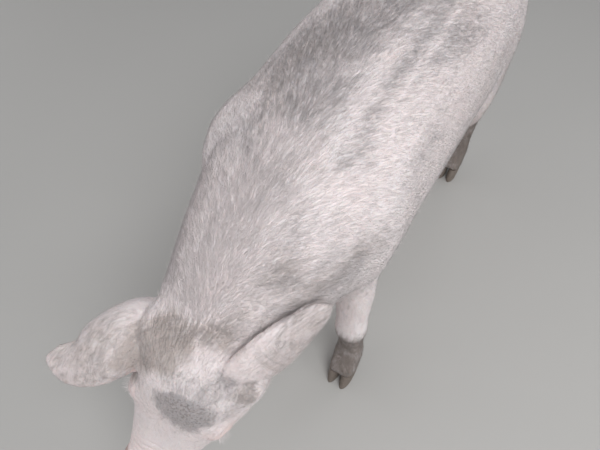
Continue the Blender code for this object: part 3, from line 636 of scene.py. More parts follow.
# Ears, in the head's own measure: root and tip of each, for the lie of their hair
EAR_LINES = {
    "ear_right": ((0.576, -0.094, 0.615), (0.675, -0.191, 0.606)),
    "ear_left": ((0.556, 0.074, 0.618), (0.420, 0.121, 0.600)),
}
# The way that the back of each ear faces
EAR_BACKS = {"ear_right": (-0.10, -0.05, 1.0), "ear_left": (0.05, 0.75, 0.65)}
EAR_SINK = 0.0070

# How far the solids are grown before they are fused, so that they overlap
GROWN = 0.0005
# The trunk's core: its cell, how often it is evened, how far feet and tail are spared that, and the
# head by what share of it, and how the hidden head shrinks, in its own measure
CORE_CELL = 0.0042
CORE_STEPS = 36
CORE_FIRM = 0.88
CORE_HEAD_FIRM = 0.6
CORE_HEAD_EDGE = (0.540, 0.600)
CORE_HEAD_MIDDLE = np.array([0.0, 0.530])
CORE_HEAD_SHRINK = 0.35
CORE_HEAD_BACK = 0.030
# The skin: how often it is evened in all and at the seam behind the head, and how far fine forms and
# ears are spared that
SKIN_STEPS = 14
SEAM_STEPS = 30
SEAM_START = (0.49, 0.51)
SEAM_END = (0.53, 0.56)
DETAIL_FIRM = 0.80
EAR_FIRM = 0.55
# The share of its depth inside the solids that a fine form lacks, how far face and tail are spared
# from thinning out, and the legs by what share of it
DETAIL_SHALLOW = 0.6
FACE_SPARED = 0.92
LEG_SPARED = 0.3
# Between which heights the legs pass into the trunk, for the core, the skin's depth and the coat
CORE_LEG_TOP = (0.25, 0.36)
SKIN_LEG_TOP = (0.10, 0.30)
COAT_LEG_TOP = (0.26, 0.44)
# How far from the eye, the mouth's line and along the head fine forms reach
EYE_DETAIL = (0.016, 0.028)
MOUTH_DETAIL = (0.005, 0.013)
DISC_DETAIL = (0.790, 0.800)
# The mouth's middle, and how near to it the mouth's line is looked for
MOUTH_MIDDLE = (0.74, 0.045, 0.467)
MOUTH_REACH = 0.10


def ear_seat():
    """A copy of the left ear, sunk into the neck that it lies on."""
    points, triangles = whole_mesh("ear_left", GROWN)
    return points - HEAD_TURN @ unit(EAR_BACKS["ear_left"]) * EAR_SINK, triangles


def core_of_trunk():
    """The trunk, neck, legs and a shrunken head, fused coarsely and evened, so that no facet shows."""
    core = fused("core", [whole_mesh(name, GROWN) for name in CORE_PARTS], CORE_CELL)
    shares = region_shares(core, 4)
    low_leg = low_leg_share(coordinates(core.data), shares, *CORE_LEG_TOP)
    firm = np.clip(low_leg + shares["tail"] + shares["head"] * CORE_HEAD_FIRM, 0, 1)
    relax(core, CORE_STEPS, 0.5 * (1 - CORE_FIRM * firm))
    points = coordinates(core.data)
    local = off_head(points)
    inside = ease(local[:, 0], *CORE_HEAD_EDGE) * shares["head"]
    kept = (1 - CORE_HEAD_SHRINK * inside)[:, None]
    local[:, 1:] = CORE_HEAD_MIDDLE + (local[:, 1:] - CORE_HEAD_MIDDLE) * kept
    local[:, 0] -= CORE_HEAD_BACK * inside
    points = np.where((inside > 0)[:, None], on_head(local), points)
    result = points, triangles_of(core.data)
    bpy.data.objects.remove(core)
    return result


def mouth_distance(side):
    """Distance of places on the head's left half to the mouth's line, and 1 where they are far off."""
    near = reach(side, MOUTH_MIDDLE) < MOUTH_REACH
    away = np.ones(len(side))
    away[near] = line_distance(side[near], through(metres(MOUTH), MOUTH_POINTS))[0]
    return away


def fine_detail(points):
    """1 round the eyes, mouth and nostrils, where the skin is hardly evened, and 0 elsewhere."""
    side = left_half(off_head(points))
    eye = fade(reach(side, EYE), *EYE_DETAIL)
    mouth = fade(mouth_distance(side), *MOUTH_DETAIL)
    disc = ease(side[:, 0], *DISC_DETAIL)
    return np.maximum(np.maximum(eye, mouth), disc)


def make_skin():
    """Fuses the flesh into one skin, inside the solids by the coat's depth, with its folds."""
    size = sizes()
    cell = size.fineness * 1.0
    parts = [core_of_trunk(), ear_seat()] + [whole_mesh(name, GROWN) for name in FACE_PARTS]
    skin = fused("skin", parts, cell)
    shares = region_shares(skin, 6)
    points = coordinates(skin.data)
    detail = fine_detail(points)
    ears = share_of(shares, EARS)
    relax(skin, SKIN_STEPS, 0.5 * (1 - DETAIL_FIRM * detail) * (1 - EAR_FIRM * ears))
    along = off_head(points)[:, 0]
    seam = ease(along, *SEAM_START) * fade(along, *SEAM_END) * (shares["head"] + shares["neck"])
    relax(skin, SEAM_STEPS, 0.5 * np.clip(seam, 0, 1))
    head = share_of(shares, FACE_PARTS)
    firm = np.clip(head + low_leg_share(points, shares, *SKIN_LEG_TOP) + shares["tail"], 0, 1)
    inset = GROWN + size.coat_depth * (1 - firm) + size.face_depth * firm
    inset = inset * (1 - DETAIL_SHALLOW * detail)
    place(skin, coordinates(skin.data) - normals_of(skin.data) * inset[:, None])
    legs = share_of(shares, LEGS)
    thin_out(skin, 1 - FACE_SPARED * np.clip(head + shares["tail"] + LEG_SPARED * legs, 0, 1))
    add_forms(skin)
    wobble(skin)
    relax(skin, 1, 0.25)
    skin.data.shade_smooth()
    return skin


def thin_out(skin, readiness):
    """Keeps the set count of triangles, and most of them where the readiness to thin is low."""
    group = skin.vertex_groups.new(name="thin")
    for level in np.unique(np.round(readiness, 1)):
        members = np.where(np.round(readiness, 1) == level)[0]
        group.add(members.tolist(), float(level), "REPLACE")
    have = sum(len(face.vertices) - 2 for face in skin.data.polygons)
    if have <= sizes().skin_triangles:
        return
    thinned(skin, sizes().skin_triangles / have, group.name)
    skin.vertex_groups.clear()


def wobble(skin):
    """Slight unevenness of flesh and hide."""
    points, normals = coordinates(skin.data), normals_of(skin.data)
    trunk = fade(off_head(points)[:, 0], 0.50, 0.60)
    height = BROAD_BUMP[0] * rough(points, BROAD_BUMP[1], 3.1) * trunk
    height += FINE_BUMP[0] * rough(points, FINE_BUMP[1], 8.7)
    place(skin, points + normals * height[:, None])


# Slight unevenness: the height and scale of broad bumps on the trunk and fine ones all over
BROAD_BUMP = (0.0012, 11.0)
FINE_BUMP = (0.00035, 42.0)
# Lie of the coat: between which heights it turns down the legs, and its way on leg and tail
LEG_TURN = (0.30, 0.46)
LEG_WAY = np.array([-0.25, 0.0, -1.0])
TAIL_WAY = np.array([-0.5, 0.1, -0.8])
# How far it parts to the sides on the back and falls on the flanks, and parts on the face
TRUNK_HALF = 0.15
BACK_PART = 0.85
FLANK_FALL = 0.50
LEAST_FALL = 0.12
FACE_HALF = 0.08
FACE_PART = 0.35
# The streaks' coordinates along and across the hair, from x, y without its sign, and z
GRAIN_ALONG = (-0.80, 0.48, -0.36)
GRAIN_ACROSS = (0.42, 0.87, -0.20)


def lie_of(points, normals, shares):
    """The way that the hair points at each place, along the skin."""
    side = np.clip(off_back(points)[:, 1] / TRUNK_HALF, -1, 1)
    top = ease(normals[:, 2], 0.1, 0.9)
    down = -FLANK_FALL * np.abs(side) * (1 - top) - LEAST_FALL
    way = np.stack([-np.ones(len(points)), BACK_PART * side * top, down], axis=1)
    way = blend(way, LEG_WAY, low_leg_share(points, shares, *LEG_TURN))
    local = off_head(points)
    face = np.outer(np.ones(len(points)), -HEAD_TURN[:, 0])
    face += np.outer(np.clip(local[:, 1] / FACE_HALF, -1, 1) * FACE_PART, HEAD_TURN[:, 1])
    way = blend(way, face, face_share(local, shares))
    for name, (root, tip) in EAR_LINES.items():
        way = blend(way, unit(on_head([tip]) - on_head([root]))[0], shares[name])
    way = blend(way, TAIL_WAY, shares["tail"])
    way -= normals * (way * normals).sum(axis=1)[:, None]
    return unit(way)


def grain_of(points, shares):
    """Coordinates whose first one runs along the hair, for streaks."""
    x, y, z = off_back(points).T
    along, across = [a * x + b * np.abs(y) + c * z for a, b, c in (GRAIN_ALONG, GRAIN_ACROSS)]
    body = np.stack([along, across, z + 0.3 * y], axis=1)
    grain = blend(body, np.stack([-z, x, y], axis=1), low_leg_share(points, shares, *LEG_TURN))
    local = off_head(points)
    x, y, z = local.T
    face = np.stack([-x, np.abs(y), z + 0.6 * y], axis=1)
    return blend(grain, face, face_share(local, shares))


# Markings by measure, in millimetres: name, middle, radii, strength of grey mud and of brown dirt. Some
# rows are painted shade, in part or whole, as the comments over them say
MARKS = {
    "head": (
        ("brow patch", (637, 17, 618), (46, 45, 50), 1.95, 0),
        ("brow speckle", (588, -5, 640), (34, 50, 30), 0.62, 0.1),
        ("brow speckle left", (582, 38, 642), (32, 30, 30), 0.8, 0.3),
        # Partly painted shade, partly dirt: shade in the crease in front of the left ear's root
        ("left ear crease", (577, 72, 624), (22, 22, 30), 0.85, 1),
        # Partly painted shade, partly dirt: the left side of the brow darkened where it turns away from the
        # light
        ("left temple", (608, 74, 602), (46, 28, 45), 0.48, 0.42),
        ("poll right", (565, -55, 630), (40, 38, 40), 0.6, 1.3),
        ("poll", (535, -35, 634), (34, 38, 40), 0.6, 1.2),
        ("poll left", (512, 10, 645), (22, 44, 40), 0.5, 0.85),
        # Partly painted shade, partly dirt: shade in the crease at the right ear's root
        ("right ear root", (591, -80, 612), (44, 40, 44), 0.7, 1.15),
        # Partly painted shade, partly dirt: the right side of the head darkened where it turns away from
        # the light
        ("right temple", (632, -78, 585), (38, 34, 45), 0.85, 0.75),
        ("left cheek", (630, 92, 520), (50, 30, 45), 0.35, 0.4),
        ("chin", (740, 0, 440), (70, 45, 25), 0.3, 0.7),
        ("right ear", (625, -145, 620), (90, 90, 60), 0.58, 0.62),
        ("left ear", (480, 105, 615), (110, 50, 60), 0.5, 0.5),
        ("snout rim", (812, 0, 470), (18, 50, 20), 0.5, 0.6),
        ("nose top", (792, 0, 555), (24, 34, 15), 0.3, 0.4),
    ),
    "trunk": (
        # The next four are partly painted shade, partly dirt: a band along the crease between neck,
        # shoulder and arm
        ("neck streak", (485, 52, 590), (44, 30, 45), 0.75, 0.55),
        ("neck band", (487, 85, 564), (48, 36, 38), 0.75, 0.6),
        ("arm band", (433, 112, 555), (65, 38, 34), 0.7, 0.45),
        ("arm crease", (357, 134, 555), (55, 36, 34), 0.72, 0.4),
        ("right neck dash", (496, -23, 598), (26, 12, 30), 0.65, 0),
        ("right neck streak", (461, -64, 612), (40, 14, 35), 0.45, 0.15),
        ("right withers streak", (421, -62, 633), (44, 20, 35), 0.45, 0.15),
        ("right shoulder streak", (352, -66, 655), (55, 30, 35), 0.64, 0.2),
        # Painted shade on the right arm, with a little brown
        ("right arm shade", (330, -120, 610), (60, 36, 60), 0.4, 0.15),
        ("withers mottle", (396, -4, 647), (36, 34, 30), 0.62, 0.1),
        ("withers patch", (363, 35, 653), (18, 18, 20), 0.7, 0),
        ("small mark", (429, 51, 623), (6, 11, 20), 1.1, 0.1),
        ("back right spots", (298, -44, 670), (36, 34, 30), 0.95, 0.35),
        ("back middle spots", (286, -14, 673), (30, 28, 30), 0.85, 0.25),
        ("back left smear", (190, 46, 676), (40, 38, 30), 0.98, 0.25),
        ("back right smear", (166, -7, 685), (45, 40, 30), 0.85, 0.2),
        ("left withers mottle", (316, 75, 652), (34, 30, 30), 0.75, 0.2),
        ("left neck mottle", (429, 68, 615), (35, 30, 30), 0.65, 0.25),
        ("back dash", (269, -10, 676), (18, 32, 20), 0.88, 0),
        ("back arc", (230, 35, 675), (20, 60, 20), 0.62, 0.05),
        ("back streaks", (202, 53, 674), (40, 34, 20), 0.66, 0.05),
        ("loin band right", (93, -45, 690), (52, 52, 30), 0.95, 0.2),
        ("loin band", (43, -10, 693), (56, 56, 30), 0.98, 0.2),
        ("loin left", (74, 32, 688), (48, 44, 30), 0.95, 0.25),
        ("loin band left", (-14, 17, 694), (44, 42, 30), 0.8, 0.15),
        ("left loin streaks", (-40, 110, 648), (60, 44, 40), 0.84, 0.2),
        ("left rib streaks", (19, 109, 644), (40, 30, 30), 0.66, 0.15),
        ("left shoulder mottle", (231, 131, 602), (32, 28, 35), 0.66, 0.3),
        ("left shoulder spots", (190, 123, 617), (20, 18, 25), 0.7, 0.15),
        # Painted shade on the left ribs behind the shoulder, with a little brown
        ("left rib shade", (118, 136, 585), (50, 32, 45), 0.58, 0.2),
        ("right shoulder top", (220, -128, 651), (60, 46, 45), 0.66, 0.5),
        # Partly painted shade, partly mud and dirt: shade on the pig's right side, away from the light
        ("right back", (193, -88, 675), (62, 56, 34), 1.1, 0.6),
        ("back right mottle", (240, -66, 671), (52, 46, 34), 0.92, 0.4),
        # Partly painted shade, partly mud and dirt, like the right back
        ("right loin", (100, -84, 684), (90, 66, 38), 1.12, 0.6),
        ("rear back", (12, 62, 675), (90, 60, 40), 0.95, 0.3),
        ("croup smear", (-75, 10, 695), (90, 90, 35), 0.95, 0.3),
        ("rump smear", (-300, -50, 690), (130, 85, 50), 0.75, 0.35),
        ("belly", (-50, 0, 270), (330, 140, 45), 0.5, 0.7),
        # The next four darken the lower flanks and hams with grey and brown
        ("left flank", (-20, 150, 430), (160, 50, 80), 0.52, 0.4),
        ("right flank", (-60, -200, 450), (170, 50, 90), 0.55, 0.4),
        ("left ham", (-380, 150, 430), (110, 60, 100), 0.6, 0.55),
        ("right ham", (-400, -150, 480), (100, 60, 120), 0.6, 0.55),
    ),
}
# Cleaner places, in millimetres: name, middle, radii, share of the mud and dirt that is missing
CLEAN = {
    "trunk": (
        ("neck", (500, -2, 593), (60, 46, 50), 0.9),
        ("left shoulder", (396, 90, 612), (40, 36, 45), 0.55),
        ("left arm", (254, 123, 618), (55, 30, 45), 0.75),
        ("right neck", (440, -50, 620), (70, 40, 50), 0.6),
        ("left rear flank", (-100, 150, 570), (200, 40, 60), 0.7),
    ),
    "head": (
        ("muzzle", (735, 0, 580), (60, 70, 45), 0.6),
        ("behind the poll", (492, -44, 648), (36, 36, 40), 0.8),
    ),
}
MARK_STRENGTH = 0.92
MARK_EDGE = (0.40, 1.35)
CLEAN_EDGE = (0.40, 1.40)
# How far marks are smeared broadly and finely, and the scales of the noise that smears them
MARK_SMEAR = 0.014
FINE_SMEAR = 0.4
BROAD_SCALE = 16.0
FINE_SCALE = 45.0
# The thin film all over: least and added mud, and least and added dirt where there is less mud
FILM_SCALE = 7.0
FILM_MUD = (0.04, 0.22)
FILM_DIRT = (0.02, 0.20)
# The caked mud on the feet: where it ends about knee and hock, and its strength as mud and as dirt
KNEE_HEIGHT = 0.205
HOCK_HEIGHT = 0.245
CAKED_BELOW = 0.045
CAKED_ABOVE = 0.025
CAKED_MUD = 1.05
CAKED_DIRT = 1.15


def smeared(points):
    """Places moved about a little, so that a mark's edge is ragged."""
    broad = np.stack([rough(points, BROAD_SCALE, seed) for seed in (1.0, 7.0, 13.0)], axis=1)
    small = np.stack([rough(points, FINE_SCALE, seed) for seed in (3.0, 9.0, 17.0)], axis=1)
    return points + MARK_SMEAR * broad + FINE_SMEAR * MARK_SMEAR * small


def marks_at(points):
    """Grey mud, brown dirt and caked mud at each place, with the painted shade of some marks in the grey
    and brown: 0 where clean, 1 and more where thick.
    """
    cover = 0.5 + 0.5 * rough(points, FILM_SCALE, 21.0)
    mud = FILM_MUD[0] + FILM_MUD[1] * cover
    dirt = FILM_DIRT[0] + FILM_DIRT[1] * (1 - cover)
    moved = smeared(points)
    measures = {"head": off_head(moved), "trunk": off_trunk(moved)}
    for measure, rows in MARKS.items():
        for _, middle, radii, grey, brown in rows:
            mask = fade(reach(measures[measure], metres(middle), metres(radii)), *MARK_EDGE)
            mud = np.maximum(mud, MARK_STRENGTH * grey * mask)
            dirt = np.maximum(dirt, MARK_STRENGTH * brown * mask)
    for measure, rows in CLEAN.items():
        for _, middle, radii, share in rows:
            mask = fade(reach(measures[measure], metres(middle), metres(radii)), *CLEAN_EDGE)
            mud, dirt = mud * (1 - share * mask), dirt * (1 - share * mask)
    joint = np.where(points[:, 0] > 0, KNEE_HEIGHT, HOCK_HEIGHT)
    low = fade(points[:, 2], joint - CAKED_BELOW, joint + CAKED_ABOVE)
    return np.maximum(mud, CAKED_MUD * low), np.maximum(dirt, CAKED_DIRT * low), low


# How pink the hide is at least, and how much more below, on the muzzle, round the eyes, on the ears
# and inside them, on the legs' inner sides, and in the patch under the tail
PINK_LEAST = 0.14
PINK_BELOW = 0.30
PINK_MUZZLE = 0.25
PINK_EYE = 0.45
PINK_EAR = 0.05
PINK_INNER_EAR = 0.50
PINK_INNER_LEG = 0.20
PINK_RUMP = 0.9
# The pink patch under the tail, in the trunk's measure
RUMP_MIDDLE = (-0.48, 0.0, 0.53)
RUMP_RADII = (0.05, 0.05, 0.10)


def pinkness_at(points, normals, shares):
    """How much pink skin shows through at each place, from 0 to 1."""
    local, trunk = off_head(points), off_trunk(points)
    pink = PINK_LEAST + PINK_BELOW * ease(-normals[:, 2], 0.1, 0.9)
    pink += PINK_MUZZLE * ease(local[:, 0], 0.70, 0.79)
    pink += PINK_EYE * fade(reach(left_half(local), EYE), 0.014, 0.032)
    for name, back in EAR_BACKS.items():
        facing = normals @ (HEAD_TURN @ unit(back))
        pink += shares[name] * (PINK_EAR + PINK_INNER_EAR * ease(-facing, 0.0, 0.5))
    legs = share_of(shares, LEGS)
    pink += PINK_INNER_LEG * legs * ease(-np.sign(trunk[:, 1]) * normals[:, 1], 0.2, 0.9)
    rump = fade(reach(trunk, RUMP_MIDDLE, RUMP_RADII), 0.4, 1.2)
    return np.clip(np.maximum(pink, PINK_RUMP * rump), 0, 1)


def bareness_at(points):
    """1 on the bare disc of the snout, and 0 elsewhere."""
    x, y, z = off_head(points).T
    return ease(x, *DISC_EDGE) * (np.abs(y) < 0.06) * (z < 0.60) * (z > 0.40)


def hollow_shade_at(points):
    """Painted shade: 1 down in the nostrils, part of that along the mouth, and 0 elsewhere."""
    side = left_half(off_head(points))
    deep = ease(NOSTRIL[0] - 0.001 - side[:, 0], 0.0, 0.006)
    deep *= fade(reach(side, NOSTRIL, NOSTRIL_RADII), 1.05, 1.30)
    return np.maximum(deep, 0.55 * fade(mouth_distance(side), 0.0008, 0.0030))


def set_value(mesh, name, values, kind="FLOAT"):
    attribute = mesh.attributes.new(name, kind, "POINT")
    field = "vector" if kind == "FLOAT_VECTOR" else "value"
    attribute.data.foreach_set(field, np.asarray(values, np.float32).ravel())


def markings_of(points, normals, shares):
    """The markings at each place, by name."""
    mud, dirt, caked = marks_at(points)
    return {
        "mud": mud,
        "dirt": dirt,
        "caked": caked,
        "pinkness": pinkness_at(points, normals, shares),
        "bareness": bareness_at(points),
        # painted shade down in the nostrils and along the mouth's line
        "hollow": hollow_shade_at(points),
        "grain": grain_of(points, shares),
    }


def mark_mesh(mesh, markings, repeat=1):
    """Writes markings onto a mesh that has so many points for each of their places."""
    for name, value in markings.items():
        kind = "FLOAT_VECTOR" if value.ndim == 2 else "FLOAT"
        set_value(mesh, name, np.repeat(value, repeat, axis=0), kind)


# Coat: name, the parts it grows on, side (0 for both), bristles
COAT_PIECES = (
    ("coat_trunk_left_front", ("torso",), 1, 46000),
    ("coat_trunk_left_back", ("torso",), 1, 46000),
    ("coat_trunk_right_front", ("torso",), -1, 46000),
    ("coat_trunk_right_back", ("torso",), -1, 46000),
    ("coat_neck", ("neck",), 0, 44000),
    ("coat_head", ("head", "snout"), 0, 46000),
    ("coat_ears", EARS, 0, 24000),
    ("coat_forelegs", ("foreleg_left", "foreleg_right"), 0, 26000),
    ("coat_hindlegs", ("hindleg_left", "hindleg_right"), 0, 34000),
    ("coat_tail", ("tail",), 0, 3000),
)
TRUNK_SPLIT = -0.06
# A bristle has three points at its root and one at its tip
CORNERS = 4
BRISTLE_FACES = np.array([(0, 1, 3), (1, 2, 3), (2, 0, 3), (2, 1, 0)])
# Places of a bristle's points on its patch of the map
PATCH = 0.0030
PATCH_PLACES = np.array([(0, 0), (0.3, 0.5), (0, 1), (1, 0.5)]) - 0.5


class Ground:
    """The skin as the bristles need it: points, triangles, shares, markings, growth and an unwrap."""

    def __init__(self, skin):
        mesh = skin.data
        self.points, self.normals = coordinates(mesh), normals_of(mesh)
        self.triangles = triangles_of(mesh)
        self.shares = region_shares(skin, 3)
        self.markings = markings_of(self.points, self.normals, self.shares)
        self.growth, self.length, self.width = bristle_growth(self.points, self.normals, self.shares)
        corner = self.points[self.triangles]
        crossed = np.cross(corner[:, 1] - corner[:, 0], corner[:, 2] - corner[:, 0])
        self.areas = np.linalg.norm(crossed, axis=1) / 2
        self.middles = corner.mean(axis=1)
        self.map_tree, self.map_triangles, self.map_points, self.map_places = unwrap(skin)

    def mixed(self, values, chosen, weights):
        """Values at places inside chosen triangles."""
        corner = values[self.triangles[chosen]]
        return (corner * (weights if corner.ndim == 2 else weights[:, :, None])).sum(axis=1)

    def map_place(self, points):
        """Places on the unwrap, by the nearest spot of its coarse skin."""
        spots, faces = [], []
        for p in points.tolist():
            spot, _, face, _ = self.map_tree.find_nearest(p)
            spots.append(spot)
            faces.append(face)
        spots, faces = np.array(spots), np.array(faces)
        a, b, c = np.moveaxis(self.map_points[self.map_triangles[faces]], 1, 0)
        v0, v1, v2 = b - a, c - a, spots - a
        d00, d01, d11 = (v0 * v0).sum(1), (v0 * v1).sum(1), (v1 * v1).sum(1)
        d20, d21 = (v2 * v0).sum(1), (v2 * v1).sum(1)
        scale = np.maximum(d00 * d11 - d01 * d01, 1e-18)
        v = np.clip((d11 * d20 - d01 * d21) / scale, 0, 1)
        w = np.clip((d00 * d21 - d01 * d20) / scale, 0, 1)
        weights = np.stack([1 - v - w, v, w], axis=1)
        return (self.map_places[faces] * weights[:, :, None]).sum(axis=1)


UNWRAP_TRIANGLES = 9000


def unwrap(skin):
    """A coarse copy of the skin laid out flat, with the places of its triangles' corners."""
    copy = link(bpy.data.objects.new("unwrap", skin.data.copy()))
    thinned(copy, UNWRAP_TRIANGLES / max(len(copy.data.polygons), UNWRAP_TRIANGLES))
    for obj in bpy.context.selected_objects:
        obj.select_set(False)
    copy.select_set(True)
    bpy.context.view_layer.objects.active = copy
    bpy.ops.object.mode_set(mode="EDIT")
    bpy.ops.mesh.select_all(action="SELECT")
    bpy.ops.uv.smart_project(angle_limit=math.radians(60), island_margin=0.004)
    bpy.ops.object.mode_set(mode="OBJECT")
    mesh = copy.data
    places = read(mesh.uv_layers.active.uv, "vector", np.float32, 2).reshape(-1, 3, 2).astype(float)
    points, triangles = coordinates(mesh), np.array([face.vertices[:] for face in mesh.polygons])
    tree = BVHTree.FromPolygons(points.tolist(), triangles.tolist())
    bpy.data.objects.remove(copy)
    return tree, triangles, points, places


# Lengths of bristles on the brow, leg, ear and tail, how much shorter those of the muzzle are, and
# how much longer those of the chin
BROW_LENGTH = 0.0085
LEG_LENGTH = 0.0105
EAR_LENGTH = 0.0085
TAIL_LENGTH = 0.016
MUZZLE_LESS = 0.0045
CHIN_MORE = 0.007
# Shares by which the crest's bristles are longer, and the belly's shorter and fewer
CREST_MORE = 0.55
BELLY_SHORTER = 0.25
BELLY_FEWER = 0.55
# Shares by which bristles of the head, legs and ears are finer
HEAD_FINER = 0.45
LEG_FINER = 0.30
EAR_FINER = 0.35
# The bare place under the tail, in the trunk's measure, and the heights at which a hoof's hair begins
BARE_MIDDLE = (-0.485, 0.0, 0.54)
BARE_RADII = (0.05, 0.025, 0.060)
CORONET = (0.020, 0.032)


def bristle_growth(points, normals, shares):
    """How thickly bristles grow at each place, from 0 to 1, and their length and width."""
    size = sizes()
    local, trunk = off_head(points), off_back(points)
    head = ease(local[:, 0], 0.50, 0.60) * share_of(shares, FACE_PARTS)
    ears = share_of(shares, EARS)
    legs = low_leg_share(points, shares, *COAT_LEG_TOP)
    belly = ease(-normals[:, 2], 0.3, 0.9) * (1 - head) * (1 - legs)
    crest = fade(np.abs(trunk[:, 1]), 0.015, 0.060) * ease(trunk[:, 0], -0.25, 0.15)
    crest *= ease(normals[:, 2], 0.3, 0.8) * (1 - head)
    length = size.bristle_length * (1 + CREST_MORE * crest - BELLY_SHORTER * belly)
    length = length * (1 - head) + head * (BROW_LENGTH - MUZZLE_LESS * ease(local[:, 0], 0.66, 0.78))
    length += CHIN_MORE * head * ease(-(local[:, 2] - 0.47), 0.0, 0.03) * fade(local[:, 0], 0.76, 0.79)
    for share, long in ((legs, LEG_LENGTH), (ears, EAR_LENGTH), (shares["tail"], TAIL_LENGTH)):
        length = length * (1 - share) + share * long
    width = size.bristle_width * (1 - HEAD_FINER * head - LEG_FINER * legs - EAR_FINER * ears)
    growth = 1 - BELLY_FEWER * belly
    growth *= ease(reach(left_half(local), EYE), 0.015, 0.024)
    growth *= 1 - ease(local[:, 0], 0.786, 0.796) * head
    growth *= ease(points[:, 2], *CORONET)
    growth *= ease(reach(trunk, BARE_MIDDLE, BARE_RADII), 0.8, 1.2)
    return growth, length, width


# How far bristles veer in clumps and each on its own, and how many of them stray
CLUMP_VEER = 0.22
OWN_VEER = 0.12
STRAY_SHARE = 0.03


def bristles(name, ground, parts, side, count, rng):
    """One piece of coat: tapered three-sided bristles that lie along the skin."""
    size = sizes()
    keep = share_of(ground.shares, parts)[ground.triangles].mean(axis=1)
    if side:
        keep *= off_back(ground.middles)[:, 1] * side >= 0
    front = off_trunk(ground.middles)[:, 0] >= TRUNK_SPLIT
    if name.endswith("_front"):
        keep *= front
    if name.endswith("_back"):
        keep *= ~front
    odds = ground.areas * keep * ground.growth[ground.triangles].mean(axis=1)
    count = max(int(count * size.coat_share * (1.0)), 20)
    chosen = rng.choice(len(odds), count, p=odds / odds.sum())
    weights = rng.dirichlet((1, 1, 1), count)
    roots, normals, length, width = [
        ground.mixed(values, chosen, weights)
        for values in (ground.points, ground.normals, ground.length, ground.width)
    ]
    normals = unit(normals)
    shares = {part: ground.mixed(value, chosen, weights) for part, value in ground.shares.items()}
    length *= rng.uniform(0.65, 1.25, count)
    width *= rng.uniform(0.75, 1.2, count)
    way = lie_of(roots, normals, shares)
    clump = 0.6 * rough(roots, 18.0, 4.4) + rough(roots, 60.0, 1.7)
    veer = CLUMP_VEER * clump + rng.normal(0, OWN_VEER, count)
    way = unit(way * np.cos(veer)[:, None] + np.cross(normals, way) * np.sin(veer)[:, None])
    stray = rng.random(count) < STRAY_SHARE
    lift = size.bristle_lift * rng.uniform(0.4, 1.3, count) + stray * rng.uniform(0.15, 0.5, count)
    length *= 1 + stray * rng.uniform(0.0, 0.7, count)
    tufts = tuft_shape(roots, normals, way, length, width, lift, rng)
    faces = (np.arange(count)[:, None, None] * CORNERS + BRISTLE_FACES).reshape(-1, 3)
    piece = mesh_object(name, tufts.reshape(-1, 3), faces)
    markings = {mark: ground.mixed(value, chosen, weights) for mark, value in ground.markings.items()}
    mark_mesh(piece.data, markings, CORNERS)
    set_value(piece.data, "shade", np.repeat(rng.random(count), CORNERS))
    lay_patches(piece.data, ground.map_place(roots))
    piece.data.shade_smooth()
    return piece


BRISTLE_SUNK = 0.0010
BRISTLE_SWAY = 0.06


def tuft_shape(roots, normals, way, length, width, lift, rng):
    """The points of each bristle: three round its sunk root, and its tip."""
    across = np.cross(normals, way)
    sideways = rng.normal(0, BRISTLE_SWAY, len(roots))
    run = np.cos(lift)[:, None] * way + np.sin(lift)[:, None] * normals
    above = np.cross(run, across)
    points = np.empty((len(roots), CORNERS, 3))
    for corner in range(3):
        angle = 2 * math.pi * corner / 3
        out = math.cos(angle) * across + math.sin(angle) * above
        points[:, corner] = roots - run * BRISTLE_SUNK + out * (width * 0.5)[:, None]
    points[:, 3] = roots + unit(run + sideways[:, None] * across) * length[:, None]
    return points


def lay_patches(mesh, places):
    """Lays each bristle on a small patch of the map at its root's place."""
    corners = (places[:, None, :] + PATCH * PATCH_PLACES).reshape(-1, 2)
    layer = mesh.uv_layers.new(name="OFBake")
    index = read(mesh.loops, "vertex_index", np.int32, 1)[:, 0]
    layer.uv.foreach_set("vector", np.clip(corners[index], 0, 1).astype(np.float32).ravel())


# Lashes, hooves and eyes


HAIR_RINGS = 5
HAIR_SIDES = 4
HAIR_TAPER = 0.75


def hairs(name, roots, ways, lengths, radius, bend):
    """Curved tapered hairs from roots, each a closed mesh."""
    points, faces = [], []
    turns = 2 * math.pi * np.arange(HAIR_SIDES) / HAIR_SIDES
    for root, way, long, droop in zip(roots, ways, lengths, bend):
        start = len(points)
        side = unit(np.cross(way, (0.3, 0.2, 1.0)))
        up = np.cross(side, way)
        for share in np.arange(HAIR_RINGS) / HAIR_RINGS:
            centre = root + way * long * share + droop * share * share * long
            for angle in turns:
                out = math.cos(angle) * side + math.sin(angle) * up
                points.append(centre + out * radius * (1 - HAIR_TAPER * share))
        top, bottom = len(points), len(points) + 1
        points += [root + way * long + droop * long, root]
        for corner in range(HAIR_SIDES):
            after = (corner + 1) % HAIR_SIDES
            for low in range(start, start + (HAIR_RINGS - 1) * HAIR_SIDES, HAIR_SIDES):
                a, b = low + corner, low + after
                faces += [(a, b, b + HAIR_SIDES), (a, b + HAIR_SIDES, a + HAIR_SIDES)]
            last = top - HAIR_SIDES
            faces += [(last + corner, last + after, top), (start + after, start + corner, bottom)]
    return mesh_object(name, np.array(points), faces)


def eye_axes(side):
    """The eye's axes in the frame: along its opening, up, and the way it looks."""
    way = unit(np.array(EYE_WAY) * (1, side, 1))
    along = unit(np.cross([0, 0, 1.0], way) * side)
    up = unit(np.cross(way, along) * side)
    c, s = math.cos(EYE_SLANT), math.sin(EYE_SLANT)
    return np.array([along * c + up * s, up * c - along * s, way]) @ HEAD_TURN.T


# The eyeball's share of its solid's radius, and how high and wide its cornea stands out
BALL_SHARE = 0.985
CORNEA_HEIGHT = 0.055
CORNEA_ANGLE = 0.52


